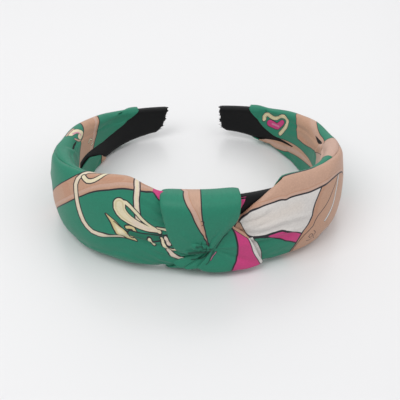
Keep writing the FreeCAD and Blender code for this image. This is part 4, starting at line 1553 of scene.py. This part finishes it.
def ribbon_tip(with_edge_highlight):
    """The tip's ribbon: black, and where asked, with a painted highlight along its start edge."""
    cloth = Cloth("tip_ribbon_edge_highlight" if with_edge_highlight else "tip_ribbon")
    cloth.paint(TIP_BLACK)
    # Painted highlight: a light line along the ribbon's start edge, over part of its girth.
    if with_edge_highlight:
        edge = (cloth.u - (TIP - 19.2)).size().below(0.22, 0.2)
        cloth.paint(PAINTED_EDGE_HIGHLIGHT, edge * cloth.v.below(16.0, 1.0))
    return cloth.finish(rough=0.5, sheen=0.02, weave=0.45, bump=0.35, soft=0.2, shine=0.22)


def plain(name, colour, rough, scale, strength):
    """Material of a piece that has no cloth coordinates."""
    material = bpy.data.materials.new(name)
    material.use_nodes = True
    tree = material.node_tree
    shader = tree.nodes["Principled BSDF"]
    where = tree.nodes.new("ShaderNodeTexCoord")
    noise = tree.nodes.new("ShaderNodeTexNoise")
    noise.inputs["Scale"].default_value = scale
    noise.inputs["Detail"].default_value = 4.0
    tree.links.new(where.outputs["Object"], noise.inputs["Vector"])
    ramp = tree.nodes.new("ShaderNodeMix")
    ramp.data_type = "RGBA"
    ramp.inputs[6].default_value = (*[c * 0.8 for c in colour], 1)
    ramp.inputs[7].default_value = (*[min(1.0, c * 1.15) for c in colour], 1)
    tree.links.new(noise.outputs["Fac"], ramp.inputs["Factor"])
    tree.links.new(ramp.outputs[2], shader.inputs["Base Color"])
    bump = tree.nodes.new("ShaderNodeBump")
    bump.inputs["Strength"].default_value = strength
    bump.inputs["Distance"].default_value = 0.0002
    tree.links.new(noise.outputs["Fac"], bump.inputs["Height"])
    tree.links.new(bump.outputs[0], shader.inputs["Normal"])
    shader.inputs["Roughness"].default_value = rough
    return material


def wear(piece, material):
    piece.data.materials.clear()
    piece.data.materials.append(material)


# ---------------------------------------------------------------- the whole


def bend(piece, side):
    """Bakes the piece's world transform into its mesh. The points at the bend stations are worked out but not
    used, so the piece does not bend with the hoop.
    """
    start, end = place(side * BEND_START, 0.0, 0.0), place(side * BEND_END, 0.0, 0.0)
    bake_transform(piece)


def build_side(side, sizes, satin, black, tip_black, plastic, fluff):
    """All the pieces of one side: builds them, hides the imported parts they stand for, puts the tip ribbon
    and its threads on the arm's body, and gives each its material.
    """
    table, vee, neck, folds, pad_start = sizes
    name = "right" if side > 0 else "left"
    sleeve = make_sleeve("sleeve_" + name, side, table, vee, neck, folds)
    cover = slab("cover_" + name, side, COVER_FACE, COVER_GROW, 0.0, COVER_CORNER, hollow=True)
    core = slab("core_" + name, side, CORE_HALF_THICK, 0.0, CORE_INSET, CORE_CORNER)
    pad = wadding("wadding_" + name, side, table, pad_start, PAD_END)
    ribbon = tip_ribbon("tip_ribbon_" + name, side)
    threads = fringe("tip_fringe_" + name, side)
    for piece in (sleeve, cover, core, pad):
        bend(piece, side)
    for piece in (ribbon, threads):
        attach(piece, name + "_arm")
    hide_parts("sleeve_" + name + "_front", "sleeve_rear_" + name)
    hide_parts("wadding_" + name + "_front", "wadding_rear_" + name)
    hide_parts("cover_arm_" + name, "cover_crown")
    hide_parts("core_arm_" + name, "core_crown")
    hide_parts("tip_wrap_" + name)
    for piece, slot, material in (
        (sleeve, "printed_satin", satin),
        (cover, "black_ribbon", black),
        (core, "hoop_plastic", plastic),
        (pad, "wadding", fluff),
        (ribbon, "black_ribbon", tip_black),
        (threads, "black_ribbon", plastic),
    ):
        wear(piece, material)


def build_knot():
    """The strap, its two ends, its lining's edge and its stitches."""
    strap = make_strap()
    lobe = fan("knot_lobe", LOBE_EDGE, 0.3, 0.5, lobe_under, lobe_waves)
    tuck = fan("knot_tuck", TUCK_EDGE, 1.3, 0.5, tuck_under, tuck_waves)
    stitches = stitch_row("strap_stitch_row")
    turned = turned_in_edge("strap_turned_in")
    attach(turned, "crown")
    lining = Cloth("satin_lining")
    lining.paint(MAGENTA)
    wear(turned, lining.finish())
    for piece, node, material in (
        (strap, "knot_strap", strap_print()),
        (lobe, "knot_end_right", lobe_print()),
        (tuck, "knot_end_left", tuck_print()),
    ):
        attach(piece, "crown")
        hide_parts(node)
        wear(piece, material)
    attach(stitches, "crown")
    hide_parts("strap_stitches")
    wear(stitches, plain("green_thread", (0.03, 0.2, 0.13), 0.7, 900.0, 0.4))


# Camera: width of its sensor in millimetres, focal length and shift as shares of the picture's width,
# degrees that it looks down and stands to the side, and in metres how far it is from what it looks at.
SENSOR = 36.0
FOCAL_SHARE = 2.200925
CAMERA_SHIFT = (0.0029, -0.010675)
CAMERA_DOWN, CAMERA_TURN = 38.17, 2.0
CAMERA_FAR = 0.450
CAMERA_TARGET = (0.0, -0.02286, 0.020)

def camera_at_photo():
    """Camera above the knot side, looking down along the opening."""
    data = bpy.data.cameras.new("camera")
    data.sensor_width = SENSOR
    data.lens = SENSOR * FOCAL_SHARE
    camera = bpy.data.objects.new("camera", data)
    bpy.context.scene.collection.objects.link(camera)
    tip_down, turn = math.radians(CAMERA_DOWN), math.radians(CAMERA_TURN)
    back = Vector((0.0, -math.cos(tip_down), math.sin(tip_down)))
    c, s = math.cos(-turn), math.sin(-turn)
    back = Vector((c * back.x - s * back.y, s * back.x + c * back.y, back.z))
    camera.location = Vector(CAMERA_TARGET) + back * CAMERA_FAR
    camera.rotation_mode = "QUATERNION"
    camera.rotation_quaternion = (-back).to_track_quat("-Z", "Y")
    data.shift_x, data.shift_y = CAMERA_SHIFT
    data.clip_start, data.clip_end = 0.01, 20.0
    bpy.context.scene.camera = camera


def studio():
    """Pale glossy table top, pale surroundings and soft lights from above."""
    floor_data = bpy.data.meshes.new("floor")
    size = 3.0
    corners = [(-size, -size, 0), (size, -size, 0), (size, size, 0), (-size, size, 0)]
    floor_data.from_pydata(corners, [], [(0, 1, 2, 3)])
    floor = bpy.data.objects.new("floor", floor_data)
    bpy.context.scene.collection.objects.link(floor)
    floor.location.z = -0.0002
    material = bpy.data.materials.new("table_top")
    material.use_nodes = True
    shader = material.node_tree.nodes["Principled BSDF"]
    shader.inputs["Base Color"].default_value = (0.80, 0.80, 0.81, 1)
    shader.inputs["Roughness"].default_value = 0.27
    shader.inputs["Specular IOR Level"].default_value = 0.5
    floor_data.materials.append(material)
    world = bpy.data.worlds.new("studio")
    bpy.context.scene.world = world
    world.use_nodes = True
    background = world.node_tree.nodes["Background"]
    background.inputs["Color"].default_value = (1.0, 1.0, 1.0, 1)
    background.inputs["Strength"].default_value = 0.60
    for name, spot, wide, power in (
        ("key", (-0.45, -0.35, 0.95), 0.7, 4.6),
        ("fill", (0.6, -0.2, 0.8), 0.8, 2.0),
        ("back", (0.0, 0.9, 0.7), 0.9, 2.2),
    ):
        data = bpy.data.lights.new(name, "AREA")
        data.size = wide
        data.energy = power
        lamp = bpy.data.objects.new(name, data)
        lamp.location = spot
        lamp.rotation_mode = "QUATERNION"
        lamp.rotation_quaternion = (-Vector(spot)).to_track_quat("-Z", "Y")
        bpy.context.scene.collection.objects.link(lamp)


def main():
    bpy.context.scene.view_settings.view_transform = "Standard"
    camera_at_photo()
    studio()
    black = ribbon_black()
    plastic = plain("hoop_plastic", (0.02, 0.02, 0.022), 0.5, 600.0, 0.2)
    fluff = plain("white_wadding", (0.75, 0.74, 0.70), 0.95, 500.0, 0.9)
    # Only the left tip ribbon gets the painted highlight along its start edge.
    tips = {-1: ribbon_tip(with_edge_highlight=True), 1: ribbon_tip(with_edge_highlight=False)}
    left = (LEFT_SLEEVE, LEFT_VEE, None, LEFT_FOLDS, LEFT_PAD_START)
    right = (RIGHT_SLEEVE, RIGHT_VEE, RIGHT_NECK, RIGHT_FOLDS, RIGHT_PAD_START)
    build_side(-1, left, left_print(), black, tips[-1], plastic, fluff)
    build_side(1, right, right_print(), black, tips[1], plastic, fluff)
    build_knot()


main()
